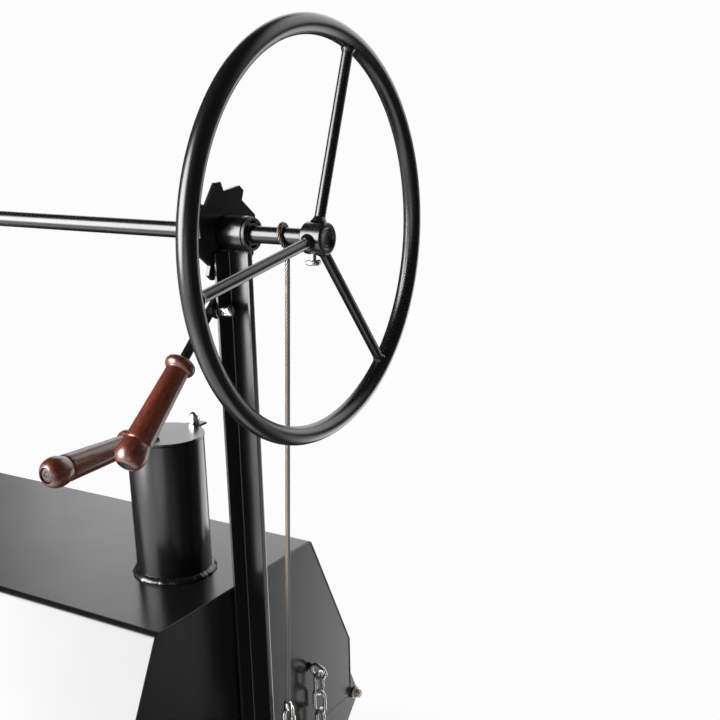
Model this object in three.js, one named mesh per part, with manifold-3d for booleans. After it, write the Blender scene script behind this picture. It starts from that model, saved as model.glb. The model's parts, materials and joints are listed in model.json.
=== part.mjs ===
// Charcoal grill with a rear-hinged hood and a wheel-driven grate lift, in millimetres, +Z up.
// A crossbar on two posts carries a three-spoke handwheel. Turning it winds two wire ropes,
// which raise the cooking grate through slots in the firebox end walls. A ratchet and pawl hold it.
// Lengths along X are measured from the middle of the hood, along Y from the crossbar's axis and
// along Z from the floor. The last lines move the whole object to the centre of its own outline.
import * as THREE from 'three';
import { mergeVertices } from 'three/addons/utils/BufferGeometryUtils.js';
import Module from 'manifold-3d';

const wasm = await Module();
wasm.setup();

// Fit between two solids that touch or turn in each other.
const GAP = 0.3;

// Handwheel and crossbar.
const SHAFT_Z = 1600;
const SHAFT_R = 9.5;
const WHEEL_R = 214.5;
const RIM_TUBE_R = 10.5;
const SPOKE_R = 6;
const SPOKE_COUNT = 3;
const FIRST_SPOKE_DEG = 69.4;
const HUB_R = 17.3;
const HUB_LENGTH = 27;

// Hood: a trapezoid on a short upright skirt.
const HOOD_LENGTH = 820;
const HOOD_Z0 = SHAFT_Z - 714;
const HOOD_KNEE_Z = SHAFT_Z - 620;
const HOOD_TOP_Z = SHAFT_Z - 428;
const HOOD_FRONT_Y = -264;
const HOOD_BACK_Y = 242;
const HOOD_TOP_FRONT_Y = -169.5;
const HOOD_TOP_BACK_Y = 147.5;
const HOOD_SHEET = 2;
const HOOD_BEND_R = 12;
const HOOD_END_INSET = 0.5;

// Positions along X, on the wheel side.
const HALF_HOOD = HOOD_LENGTH / 2;
const WALL_X = HALF_HOOD + 1.7;
const POST_X0 = HALF_HOOD + 2;
const POST_WIDTH = 35.7;
const WHEEL_X = HALF_HOOD + 121;
const THUMB_SCREW_X = WHEEL_X - 5;
const ROPE_X = WHEEL_X - 46.5;
const SLEEVE_LENGTH = 31;
const SLEEVE_R = 19.5;
const RATCHET_X0 = HALF_HOOD - 5;
const RATCHET_THICK = 5;

// Posts: J-shaped channels that open to the front.
const POST_SHEET = 3;
const POST_BEND_R = 4.5;
const POST_BACK_Y = -1.8;
const POST_DEEP_Y = -28.3;
const POST_SHALLOW_Y = -12.8;
const POST_TOP_Z = SHAFT_Z - SLEEVE_R - GAP;

// Firebox.
const FIREBOX_TOP_Z = HOOD_Z0 - GAP;
const FIREBOX_DEPTH = 230;
const FIREBOX_Z0 = FIREBOX_TOP_Z - FIREBOX_DEPTH;
const FIREBOX_FRONT_Y = -251;
const FIREBOX_BACK_Y = 229;
const FIREBOX_SHEET = 3;
const END_WALL_THICK = 4;

// Grate lift.
const GRATE_LIFT = 138.6;
const ARM_Z = SHAFT_Z - 880;
const ARM_Y = 8;
const ARM_R = 5;
const ARM_X = ROPE_X - 24;
const GRATE_THICK = 8;
const ROPE_R = 2.8;
const ROPE_HOLE_OFFSET = 20.5;
const ROPE_END_Z = SHAFT_Z - 596;

// Ratchet and pawl.
const TOOTH_COUNT = 8;
const TOOTH_STEEP_DEG = 94;
const TOOTH_TIP_R = 57.5;
const TOOTH_ROOT_R = 46;
const PAWL_Y = -20;
const PAWL_Z = SHAFT_Z - 85;
const PAWL_LIFTED_DEG = 9;
const GRIP_LENGTH = 138;
const GRIP_RECESS = 5;

// Chimney and its swivel cap.
const CHIMNEY_X = HALF_HOOD - 101;
const CHIMNEY_Y = -15;
const CHIMNEY_R = 47.5;
const CHIMNEY_WALL = 2.5;
const CAP_TOP_Z = SHAFT_Z - 247;
const CAP_THICK = 3;
const CAP_PIVOT_X = CHIMNEY_X + 3;
const CAP_PIVOT_Y = CHIMNEY_Y + 53;

// Hinge of the hood, behind its back wall.
const HINGE_Y = 252;
const HINGE_Z = SHAFT_Z - 717;

// Lid chain.
const CHAIN_X = HALF_HOOD + 14;
const CHAIN_Y = 135;
const CHAIN_Z = SHAFT_Z - 620;
const LINK_COUNT = 4;
const EYE_STRAIGHT = 6;
const EYE_TILT = 0.42;
const LINK_WIRE_R = 2.5;
const LINK_BEND_R = 8.75;
const LINK_STRAIGHT = 17.5;

// M8 fixings.
const M8_R = 4;
const M8_CLEAR_R = 4.4;
const M8_HEX_R = 7.3;

const material = (color, roughness, metalness) =>
  new THREE.MeshStandardMaterial({ color, roughness, metalness });
const blackPaint = () => material(0x17171a, 0.45, 0.1);
const brightSteel = () => material(0xc8c4bc, 0.25, 1.0);
const darkPlastic = () => material(0x0c0c0d, 0.5, 0.0);
const redWood = () => material(0x6b2718, 0.3, 0.0);
const ropeSteel = () => material(0xb9aca0, 0.4, 0.9);
const bareIron = () => material(0x55504b, 0.6, 0.8);

const group = new THREE.Group();

function add(name, geometry, finish) {
  const mesh = new THREE.Mesh(weld(geometry), finish);
  mesh.name = name;
  group.add(mesh);
}

// Booleans.

// Bare positions and triangles, with shared corners and without collapsed triangles.
function weld(geometry) {
  const bare = geometry.clone();
  for (const key of Object.keys(bare.attributes)) {
    if (key !== 'position') bare.deleteAttribute(key);
  }
  const merged = mergeVertices(bare, 1e-4);
  const kept = [];
  for (let i = 0; i < merged.index.count; i += 3) {
    const [a, b, c] = merged.index.array.slice(i, i + 3);
    if (a !== b && b !== c && c !== a) kept.push(a, b, c);
  }
  merged.setIndex(kept);
  return merged;
}

function toSolid(geometry) {
  const welded = weld(geometry);
  return new wasm.Manifold(new wasm.Mesh({
    numProp: 3,
    vertProperties: new Float32Array(welded.attributes.position.array),
    triVerts: new Uint32Array(welded.index.array),
  }));
}

function toGeometry(solid) {
  const mesh = solid.getMesh();
  const geometry = new THREE.BufferGeometry();
  geometry.setAttribute('position', new THREE.BufferAttribute(new Float32Array(mesh.vertProperties), 3));
  geometry.setIndex(new THREE.BufferAttribute(new Uint32Array(mesh.triVerts), 1));
  return geometry;
}

function join(first, ...others) {
  return toGeometry(others.reduce((sum, part) => sum.add(toSolid(part)), toSolid(first)));
}

function cut(first, ...others) {
  return toGeometry(others.reduce((sum, part) => sum.subtract(toSolid(part)), toSolid(first)));
}

// Basic solids.

const X_AXIS = new THREE.Vector3(1, 0, 0);
const Y_AXIS = new THREE.Vector3(0, 1, 0);
const Z_AXIS = new THREE.Vector3(0, 0, 1);

// A cylinder from start, length mm along axis.
function rod(radius, start, axis, length, sides = 16) {
  const geometry = new THREE.CylinderGeometry(radius, radius, length, sides);
  geometry.applyQuaternion(new THREE.Quaternion().setFromUnitVectors(Y_AXIS, axis));
  const middle = new THREE.Vector3(...start).addScaledVector(axis, length / 2);
  return geometry.translate(middle.x, middle.y, middle.z);
}

function box(x0, x1, y0, y1, z0, z1) {
  const geometry = new THREE.BoxGeometry(x1 - x0, y1 - y0, z1 - z0);
  return geometry.translate((x0 + x1) / 2, (y0 + y1) / 2, (z0 + z1) / 2);
}

// A turned solid: profile holds [radius, distance along axis] pairs, outer side first.
function turned(profile, start, axis, sides = 24) {
  const points = profile.map(([radius, along]) => new THREE.Vector2(radius, along));
  const geometry = new THREE.LatheGeometry(points, sides);
  geometry.applyQuaternion(new THREE.Quaternion().setFromUnitVectors(Y_AXIS, axis));
  return geometry.translate(...start);
}

function ring(outer, inner, start, axis, length, sides = 24) {
  return turned([[inner, 0], [outer, 0], [outer, length], [inner, length], [inner, 0]], start, axis, sides);
}

// Extrudes a shape, with its outline counter-clockwise and its holes clockwise.
function extrude(shape, depth, curveSegments) {
  const { shape: contour, holes } = shape.extractPoints(curveSegments);
  const turnedTo = (points, clockwise) =>
    THREE.ShapeUtils.isClockWise(points) === clockwise ? points : points.slice().reverse();
  const clean = new THREE.Shape(turnedTo(contour, false));
  clean.holes = holes.map((hole) => new THREE.Path(turnedTo(hole, true)));
  return new THREE.ExtrudeGeometry(clean, { depth, bevelEnabled: false });
}

// A shape drawn in Y and Z, extruded along X from x0 to x1.
function plateX(shape, x0, x1, curveSegments = 5) {
  const geometry = extrude(shape, x1 - x0, curveSegments);
  geometry.applyMatrix4(new THREE.Matrix4().makeBasis(Y_AXIS, Z_AXIS, X_AXIS));
  return geometry.translate(x0, 0, 0);
}

// A shape drawn in X and Y, extruded along Z from z0 to z1.
function plateZ(shape, z0, z1, curveSegments = 5) {
  return extrude(shape, z1 - z0, curveSegments).translate(0, 0, z0);
}

function outline(points) {
  return new THREE.Shape(points.map(([u, v]) => new THREE.Vector2(u, v)));
}

function rectangleHole(u0, u1, v0, v1) {
  return new THREE.Path([[u0, v0], [u1, v0], [u1, v1], [u0, v1]].map(([u, v]) => new THREE.Vector2(u, v)));
}

function roundHole(u, v, radius) {
  const hole = new THREE.Path();
  hole.absarc(u, v, radius, 0, 2 * Math.PI, true);
  return hole;
}

// A round wire along a curve.
function wire(curve, radius, steps, sides = 8) {
  const section = new THREE.Shape();
  for (let i = 0; i < sides; i++) {
    const angle = 2 * Math.PI * i / sides;
    const [u, v] = [radius * Math.cos(angle), radius * Math.sin(angle)];
    if (i === 0) section.moveTo(u, v);
    else section.lineTo(u, v);
  }
  section.closePath();
  return new THREE.ExtrudeGeometry(section, { steps, bevelEnabled: false, extrudePath: curve });
}

// A polyline through the points, with its corners rounded to the radius.
function roundedPath(points, radius) {
  const corners = points.map((p) => new THREE.Vector3(...p));
  const path = new THREE.CurvePath();
  let from = corners[0];
  for (let i = 1; i < corners.length - 1; i++) {
    const toPrevious = corners[i - 1].clone().sub(corners[i]).normalize();
    const toNext = corners[i + 1].clone().sub(corners[i]).normalize();
    const start = corners[i].clone().addScaledVector(toPrevious, radius);
    const end = corners[i].clone().addScaledVector(toNext, radius);
    path.add(new THREE.LineCurve3(from, start));
    path.add(new THREE.QuadraticBezierCurve3(start, corners[i], end));
    from = end;
  }
  path.add(new THREE.LineCurve3(from, corners[corners.length - 1]));
  return path;
}

// Section of a bent sheet. The points are its outer surface; the bends all turn the same way.
function bentSheet(points, thickness, bendRadius) {
  const p = points.map(([u, v]) => new THREE.Vector2(u, v));
  const along = p.slice(1).map((q, i) => q.clone().sub(p[i]).normalize());
  const turn = Math.sign(along[0].cross(along[1]));
  const inward = along.map((d) => new THREE.Vector2(-d.y, d.x).multiplyScalar(turn));
  const bends = [];
  for (let i = 1; i < p.length - 1; i++) {
    const [n0, n1] = [inward[i - 1], inward[i]];
    const reach = bendRadius / (1 + n0.dot(n1));
    const centre = p[i].clone().addScaledVector(n0, reach).addScaledVector(n1, reach);
    bends.push({ centre, a0: Math.atan2(-n0.y, -n0.x), a1: Math.atan2(-n1.y, -n1.x) });
  }
  const shape = new THREE.Shape();
  const last = p.length - 1;
  const arc = ({ centre, a0, a1 }, radius, clockwise) => {
    shape.lineTo(centre.x + radius * Math.cos(a0), centre.y + radius * Math.sin(a0));
    shape.absarc(centre.x, centre.y, radius, a0, a1, clockwise);
  };
  shape.moveTo(p[0].x, p[0].y);
  for (const bend of bends) arc(bend, bendRadius, turn < 0);
  shape.lineTo(p[last].x, p[last].y);
  const innerEnd = p[last].clone().addScaledVector(inward[last - 1], thickness);
  shape.lineTo(innerEnd.x, innerEnd.y);
  for (const { centre, a0, a1 } of bends.reverse()) {
    arc({ centre, a0: a1, a1: a0 }, bendRadius - thickness, turn > 0);
  }
  const innerStart = p[0].clone().addScaledVector(inward[0], thickness);
  shape.lineTo(innerStart.x, innerStart.y);
  return shape;
}

// A stretched ring, standing along Z and open along the facing axis.
function linkRing(bendRadius, wireRadius, straight, centre, facing, arcs = 12, sides = 6) {
  const geometry = new THREE.TorusGeometry(bendRadius, wireRadius, sides, arcs);
  geometry.rotateZ(Math.PI / arcs);
  const position = geometry.attributes.position;
  for (let i = 0; i < position.count; i++) {
    position.setY(i, position.getY(i) + Math.sign(position.getY(i)) * straight / 2);
  }
  geometry.rotateX(Math.PI / 2);
  if (facing === 'x') geometry.rotateZ(Math.PI / 2);
  return geometry.translate(...centre);
}

// Fixings.

// Acorn nut with a blind bore, its flat side at start.
function acornNut(start, axis) {
  const hex = 6.5;
  const dome = [
    [0, hex - 1], [6.2, hex - 1], [6.2, hex + 2], [5.4, hex + 5], [3.2, hex + 7.4], [0, hex + 8.2],
  ];
  const bore = 9.5;
  return cut(
    join(rod(M8_HEX_R, start, axis, hex, 6), turned(dome, start, axis, 12)),
    rod(M8_CLEAR_R, new THREE.Vector3(...start).addScaledVector(axis, -1).toArray(), axis, bore + 1, 12),
  );
}

// Hex bolt: its head ends at start, and the shank runs on along the axis.
function hexBolt(start, axis, shank, headHeight = 5.3) {
  const headStart = new THREE.Vector3(...start).addScaledVector(axis, -headHeight).toArray();
  return join(
    rod(M8_HEX_R, headStart, axis, headHeight, 6),
    rod(M8_R, headStart, axis, headHeight + shank, 12),
  );
}

// Turned wooden grip with a bead, a slim taper and a domed end, bored for its rod.
function grip(start, axis) {
  const bore = 4.5;
  const recess = 9.4;
  const profile = [
    [bore, 0], [13.5, 0], [16.2, 2], [17.2, 6], [16.5, 10.5], [14, 13.2], [12.8, 14.6],
    [13.5, 40], [14.5, 74], [15.7, 107.5], [14.9, 109.5], [16, 112.5], [17.4, 118], [17.7, 122],
    [16.9, 127.5], [14.6, 133], [recess + 1.2, GRIP_LENGTH], [recess, GRIP_LENGTH],
    [recess, GRIP_LENGTH - GRIP_RECESS], [bore, GRIP_LENGTH - GRIP_RECESS], [bore, 0],
  ];
  return turned(profile, start, axis, 20);
}

// Wheel, crossbar and ratchet.

function buildShaft() {
  const left = -(ROPE_X + ROPE_HOLE_OFFSET + 13);
  const right = WHEEL_X + 13;
  const bar = rod(SHAFT_R, [left, 0, SHAFT_Z], X_AXIS, right - left, 20);
  const holes = [-1, 1].map((side) =>
    rod(ROPE_R + 1.2, [side * (ROPE_X + ROPE_HOLE_OFFSET), -15, SHAFT_Z], Y_AXIS, 30, 12));
  return cut(bar, ...holes);
}

function buildRatchet() {
  const shape = new THREE.Shape();
  const pitch = 360 / TOOTH_COUNT;
  const point = (radius, degrees) => {
    const angle = THREE.MathUtils.degToRad(degrees);
    return [radius * Math.cos(angle), SHAFT_Z + radius * Math.sin(angle)];
  };
  for (let i = 0; i < TOOTH_COUNT; i++) {
    const steep = TOOTH_STEEP_DEG + i * pitch;
    const root = point(TOOTH_ROOT_R, steep - 3);
    if (i === 0) shape.moveTo(...root);
    else shape.lineTo(...root);
    shape.lineTo(...point(TOOTH_TIP_R - 1, steep + 1.5));
    shape.lineTo(...point(TOOTH_TIP_R, steep + 11));
  }
  shape.closePath();
  shape.holes.push(roundHole(0, SHAFT_Z, SHAFT_R + GAP));
  return plateX(shape, RATCHET_X0, RATCHET_X0 + RATCHET_THICK, 12);
}

function buildWheel() {
  const rim = new THREE.TorusGeometry(WHEEL_R, RIM_TUBE_R, 10, 60);
  rim.rotateY(Math.PI / 2);
  rim.translate(WHEEL_X, 0, SHAFT_Z);
  add('wheel_rim', rim, blackPaint());

  const hubX = WHEEL_X - 12;
  const bore = SHAFT_R + GAP;
  const chamfer = 1.2;
  const hub = turned([
    [bore, 0], [HUB_R - chamfer, 0], [HUB_R, chamfer], [HUB_R, HUB_LENGTH - chamfer],
    [HUB_R - chamfer, HUB_LENGTH], [bore, HUB_LENGTH], [bore, 0],
  ], [hubX, 0, SHAFT_Z], X_AXIS, 28);
  const screwHole = rod(3.3, [THUMB_SCREW_X, 0, SHAFT_Z - HUB_R - 2], Z_AXIS, 12, 10);
  add('wheel_hub', cut(hub, screwHole), blackPaint());

  const spokeStart = HUB_R + GAP;
  const spokeEnd = WHEEL_R - RIM_TUBE_R - GAP;
  for (let i = 0; i < SPOKE_COUNT; i++) {
    const angle = THREE.MathUtils.degToRad(FIRST_SPOKE_DEG + i * 360 / SPOKE_COUNT);
    const axis = new THREE.Vector3(0, Math.cos(angle), Math.sin(angle));
    const start = [WHEEL_X, spokeStart * axis.y, SHAFT_Z + spokeStart * axis.z];
    add(`wheel_spoke_${i + 1}`, rod(SPOKE_R, start, axis, spokeEnd - spokeStart, 12), blackPaint());
  }

  const stem = turned([
    [0, 0], [7.2, 0], [8.4, 1.2], [8.4, 4.6], [7.2, 5.8], [3, 5.8], [3, 18], [0, 18],
  ], [THUMB_SCREW_X, 0, SHAFT_Z - 29], Z_AXIS, 16);
  add('thumb_screw', stem, brightSteel());
}

// Rope wrapped once round the crossbar; its end goes through a cross hole.
function buildRopeWrap(side) {
  const wrapR = SHAFT_R + ROPE_R + GAP;
  const points = [];
  const turnDegrees = 320;
  const pitch = 17;
  for (let degrees = 0; degrees <= turnDegrees; degrees += 20) {
    const angle = THREE.MathUtils.degToRad(degrees);
    const x = side * (ROPE_X + pitch * (degrees / turnDegrees) ** 1.4);
    points.push(new THREE.Vector3(x, wrapR * Math.cos(angle), SHAFT_Z + wrapR * Math.sin(angle)));
  }
  const endX = side * (ROPE_X + ROPE_HOLE_OFFSET);
  for (const y of [15, 9, 2, -4, -9]) points.push(new THREE.Vector3(endX, y, SHAFT_Z));
  return wire(new THREE.CatmullRomCurve3(points), ROPE_R, 60);
}

function buildHangingRope(side) {
  const wrapR = SHAFT_R + ROPE_R + GAP;
  const top = new THREE.Vector3(side * ROPE_X, wrapR, SHAFT_Z - 4 * GAP);
  const bottom = new THREE.Vector3(side * ARM_X, ARM_Y, ROPE_END_Z);
  return wire(new THREE.LineCurve3(top, bottom), ROPE_R, 1);
}

// Posts, bearings.

function buildPost(side) {
  const inner = side * POST_X0;
  const outer = side * (POST_X0 + POST_WIDTH);
  const section = bentSheet([
    [inner, POST_DEEP_Y], [inner, POST_BACK_Y], [outer, POST_BACK_Y], [outer, POST_SHALLOW_Y],
  ], POST_SHEET, POST_BEND_R);
  const post = plateZ(section, FIREBOX_Z0, POST_TOP_Z, 4);
  if (side < 0) return post;
  return cut(post, rod(M8_CLEAR_R, [POST_X0 - 5, PAWL_Y, PAWL_Z], X_AXIS, 12, 12));
}

function buildSleeve(side) {
  const x0 = side > 0 ? POST_X0 : -(POST_X0 + SLEEVE_LENGTH);
  return ring(SLEEVE_R, 17, [x0, 0, SHAFT_Z], X_AXIS, SLEEVE_LENGTH, 28);
}

// Plastic bush with an outer flange and a ring of moulded pockets.
function buildOuterBush(side) {
  const axis = X_AXIS.clone().multiplyScalar(side);
  const start = [side * (POST_X0 + SLEEVE_LENGTH / 2 + 1), 0, SHAFT_Z];
  const body = SLEEVE_LENGTH / 2 - 1 + GAP;
  const flange = 4;
  const bore = SHAFT_R + GAP;
  const shell = turned([
    [bore, 0], [16.7, 0], [16.7, body], [18.4, body], [18.4, body + flange], [bore, body + flange], [bore, 0],
  ], start, axis, 28);
  const pockets = [];
  const pocketCount = 6;
  const wall = THREE.MathUtils.degToRad(9);
  for (let i = 0; i < pocketCount; i++) {
    const from = 2 * Math.PI * i / pocketCount + wall;
    const to = 2 * Math.PI * (i + 1) / pocketCount - wall;
    const pocket = new THREE.Shape();
    pocket.absarc(0, SHAFT_Z, 15.4, from, to, false);
    pocket.absarc(0, SHAFT_Z, 12, to, from, true);
    pocket.closePath();
    const depth = 9;
    const faceX = side * (POST_X0 + SLEEVE_LENGTH / 2 + 1 + body + flange);
    const [x0, x1] = side > 0 ? [faceX - depth, faceX + 1] : [faceX - 1, faceX + depth];
    pockets.push(plateX(pocket, x0, x1, 3));
  }
  return cut(shell, ...pockets);
}

function buildInnerBush(side) {
  const length = SLEEVE_LENGTH / 2 - 1 - GAP;
  const x0 = side > 0 ? POST_X0 + 1 : -(POST_X0 + 1 + length);
  return ring(16.7, SHAFT_R + GAP, [x0, 0, SHAFT_Z], X_AXIS, length, 28);
}

// Pawl lever, in the ratchet's plane on the inner side of the post.

function buildPawl() {
  const x0 = RATCHET_X0;
  const gripStart = new THREE.Vector2(-87.2, SHAFT_Z - 130.2);
  const down = new THREE.Vector2(-0.749, -0.6626).normalize();
  const across = new THREE.Vector2(-down.y, down.x);
  const halfBar = 5.4;
  const barTop = gripStart.clone().addScaledVector(down, -92);
  const barEnd = gripStart.clone().addScaledVector(down, -0.6);
  const corner = (base, offset) => {
    const point = base.clone().addScaledVector(across, offset);
    return [point.x, point.y];
  };
  const bar = plateX(outline([
    corner(barEnd, halfBar), corner(barTop, halfBar), corner(barTop, -halfBar), corner(barEnd, -halfBar),
  ]), x0, x0 + RATCHET_THICK);

  // The nose is drawn with its tip in a tooth space, then turned back clear of the teeth.
  const lifted = THREE.MathUtils.degToRad(-PAWL_LIFTED_DEG);
  const clearance = 1.2;
  const noseWidth = 8;
  const toothPoint = (radius, degrees) => {
    const angle = THREE.MathUtils.degToRad(degrees);
    return new THREE.Vector2(radius * Math.cos(angle), SHAFT_Z + radius * Math.sin(angle));
  };
  const steepDeg = TOOTH_STEEP_DEG + 225;
  const root = toothPoint(TOOTH_ROOT_R, steepDeg - 3);
  const steep = toothPoint(TOOTH_TIP_R - 1, steepDeg + 1.5).sub(root).normalize();
  const back = toothPoint(TOOTH_TIP_R, steepDeg - 34).sub(root).normalize();
  const outward = new THREE.Vector2(-back.y, back.x);
  const tip = root.clone().addScaledVector(outward, clearance).addScaledVector(steep, 1)
    .addScaledVector(back, clearance);
  const heel = tip.clone().addScaledVector(steep, noseWidth);
  const swungBack = (point) => {
    const arm = point.clone().rotateAround(new THREE.Vector2(PAWL_Y, PAWL_Z), lifted);
    return [arm.x, arm.y];
  };
  const nose = plateX(outline([
    [PAWL_Y + 2, PAWL_Z - 10], swungBack(heel.clone().addScaledVector(back, 20)), swungBack(heel),
    swungBack(tip), swungBack(tip.clone().addScaledVector(back, 34)), [PAWL_Y, PAWL_Z + 12.5],
    [PAWL_Y - 8, PAWL_Z - 4],
  ]), x0, x0 + RATCHET_THICK);
  const bossShape = new THREE.Shape();
  bossShape.absarc(PAWL_Y, PAWL_Z, 10, 0, 2 * Math.PI, false);
  const boss = plateX(bossShape, x0, x0 + RATCHET_THICK, 10);
  const neck = plateX(outline([
    [PAWL_Y - 4, PAWL_Z - 6], [PAWL_Y + 8, PAWL_Z + 5], corner(barTop, halfBar), corner(barTop, -halfBar),
    corner(barTop.clone().addScaledVector(down, 26), halfBar),
  ]), x0, x0 + RATCHET_THICK);
  const tang = rod(
    M8_R,
    [x0 + RATCHET_THICK / 2, gripStart.x - down.x * 8, gripStart.y - down.y * 8],
    new THREE.Vector3(0, down.x, down.y),
    8 + GRIP_LENGTH - GRIP_RECESS - GAP,
    12,
  );
  const bore = rod(M8_CLEAR_R + 0.2, [x0 - 1, PAWL_Y, PAWL_Z], X_AXIS, RATCHET_THICK + 2, 14);
  add('pawl_lever', cut(join(bar, nose, boss, neck, tang), bore), blackPaint());

  const axis = new THREE.Vector3(0, down.x, down.y);
  const start = [x0 + RATCHET_THICK / 2, gripStart.x, gripStart.y];
  add('pawl_grip', grip(start, axis), redWood());
  const nutAlong = GRIP_LENGTH - GRIP_RECESS + GAP;
  const nutStart = new THREE.Vector3(...start).addScaledVector(axis, nutAlong).toArray();
  add('pawl_grip_nut', buildGripNut(nutStart, axis), brightSteel());
}

// Low round nut that closes a grip, with a driver slot across it.
function buildGripNut(start, axis) {
  const nut = turned([[0, 0], [9, 0], [9, 2.4], [7.4, 3.4], [0, 3.8]], start, axis, 20);
  const slotAxis = Math.abs(axis.x) > 0.5 ? Y_AXIS : X_AXIS;
  const middle = new THREE.Vector3(...start).addScaledVector(axis, 3.8);
  const slot = new THREE.BoxGeometry(2, 2, 20);
  slot.applyQuaternion(new THREE.Quaternion().setFromUnitVectors(Z_AXIS, slotAxis));
  slot.translate(middle.x, middle.y, middle.z);
  return cut(nut, slot);
}

function buildPawlBolt() {
  const start = [RATCHET_X0 - 2, PAWL_Y, PAWL_Z];
  const washer = ring(9, M8_R - 0.2, [RATCHET_X0 - 2, PAWL_Y, PAWL_Z], X_AXIS, 1.6, 16);
  const spacer = ring(9, M8_R - 0.2, [RATCHET_X0 + RATCHET_THICK + GAP, PAWL_Y, PAWL_Z], X_AXIS, 1.4, 16);
  add('pawl_bolt', join(hexBolt(start, X_AXIS, 20), washer, spacer), brightSteel());
  add('pawl_nut', acornNut([POST_X0 + POST_SHEET + GAP, PAWL_Y, PAWL_Z], X_AXIS), brightSteel());
}

// Hood.

const hoodOutline = [
  [HOOD_FRONT_Y, HOOD_Z0], [HOOD_FRONT_Y, HOOD_KNEE_Z], [HOOD_TOP_FRONT_Y, HOOD_TOP_Z],
  [HOOD_TOP_BACK_Y, HOOD_TOP_Z], [HOOD_BACK_Y, HOOD_KNEE_Z], [HOOD_BACK_Y, HOOD_Z0],
];

// Lug on the hood's lower rear corner, in the hood's own sheet thickness.
function hoodLug(topZ, x0) {
  const wallY = HOOD_BACK_Y - 1;
  const radius = HINGE_Y - HOOD_BACK_Y - 1.4;
  const [outerEdge, innerEdge] = [0.4, -1.9];
  const shape = new THREE.Shape();
  shape.moveTo(wallY, topZ);
  shape.lineTo(HINGE_Y + radius * Math.cos(outerEdge), HINGE_Z + radius * Math.sin(outerEdge));
  shape.absarc(HINGE_Y, HINGE_Z, radius, outerEdge, innerEdge, true);
  shape.lineTo(wallY, HINGE_Z - 2.5);
  shape.closePath();
  shape.holes.push(roundHole(HINGE_Y, HINGE_Z, M8_CLEAR_R));
  return plateX(shape, x0, x0 + HOOD_SHEET);
}

function buildHood() {
  const sheet = plateX(bentSheet(hoodOutline, HOOD_SHEET, HOOD_BEND_R), -HALF_HOOD, HALF_HOOD, 4);
  const flueHole = rod(CHIMNEY_R - 3, [CHIMNEY_X, CHIMNEY_Y, HOOD_TOP_Z - 10], Z_AXIS, 20, 28);
  const lugs = [-HALF_HOOD + GAP, HALF_HOOD - HOOD_SHEET - GAP].map((x0) => hoodLug(HINGE_Z + 42, x0));
  add('hood_shell', cut(join(sheet, ...lugs), flueHole), blackPaint());

  const inset = HOOD_SHEET + GAP;
  const slope = inset / Math.cos(Math.atan2(HOOD_BACK_Y - HOOD_TOP_BACK_Y, HOOD_TOP_Z - HOOD_KNEE_Z));
  const cornerCut = 5;
  const kneeCut = 2;
  const end = outline([
    [HOOD_FRONT_Y + inset, HOOD_Z0], [HOOD_FRONT_Y + inset, HOOD_KNEE_Z - kneeCut],
    [HOOD_TOP_FRONT_Y + slope - cornerCut / 2, HOOD_TOP_Z - inset - cornerCut],
    [HOOD_TOP_FRONT_Y + slope + cornerCut, HOOD_TOP_Z - inset],
    [HOOD_TOP_BACK_Y - slope - cornerCut, HOOD_TOP_Z - inset],
    [HOOD_TOP_BACK_Y - slope + cornerCut / 2, HOOD_TOP_Z - inset - cornerCut],
    [HOOD_BACK_Y - inset, HOOD_KNEE_Z - kneeCut], [HOOD_BACK_Y - inset, HOOD_Z0],
  ]);
  const outer = HALF_HOOD - HOOD_END_INSET;
  add('hood_end_right', plateX(end, outer - HOOD_SHEET, outer), blackPaint());
  add('hood_end_left', plateX(end, -outer, -outer + HOOD_SHEET), blackPaint());

  // Front handle: a bent bar through a turned grip.
  const barZ = HOOD_Z0 + 44;
  const barY = HOOD_FRONT_Y - 42;
  const half = 105;
  const footY = HOOD_FRONT_Y - GAP;
  const bar = roundedPath([
    [-half, footY, barZ], [-half, barY, barZ], [half, barY, barZ], [half, footY, barZ],
  ], 14);
  add('hood_handle_bar', wire(bar, 5, 36, 10), blackPaint());
  const gripLength = 150;
  const gripProfile = [
    [5.5, 0], [12, 0], [15.6, 2.5], [16, 6], [14.6, 9.5], [12.6, 11.5], [14.6, 50], [15.2, 75], [14.6, 100],
    [12.6, 138.5], [14.6, 140.5], [16, 144], [15.6, 147.5], [12, 150], [5.5, 150], [5.5, 0],
  ];
  add('hood_handle_grip', turned(gripProfile, [-gripLength / 2, barY, barZ], X_AXIS, 20), redWood());
}

function buildHinges() {
  for (const [side, name] of [[1, 'right'], [-1, 'left']]) {
    const axis = X_AXIS.clone().multiplyScalar(side);
    const inner = [side * (HALF_HOOD - 11), HINGE_Y, HINGE_Z];
    const washer = ring(9.5, M8_R - 0.2, [side * (HALF_HOOD + GAP), HINGE_Y, HINGE_Z], axis, 1.6, 16);
    add(`hinge_bolt_${name}`, join(hexBolt(inner, axis, 22), washer), brightSteel());
    const nut = rod(M8_HEX_R, [side * (HALF_HOOD + 2.2), HINGE_Y, HINGE_Z], axis, 6.5, 6);
    const nutBore = rod(M8_CLEAR_R, [side * HALF_HOOD, HINGE_Y, HINGE_Z], axis, 12, 12);
    add(`hinge_nut_${name}`, cut(nut, nutBore), brightSteel());
  }
}

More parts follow.
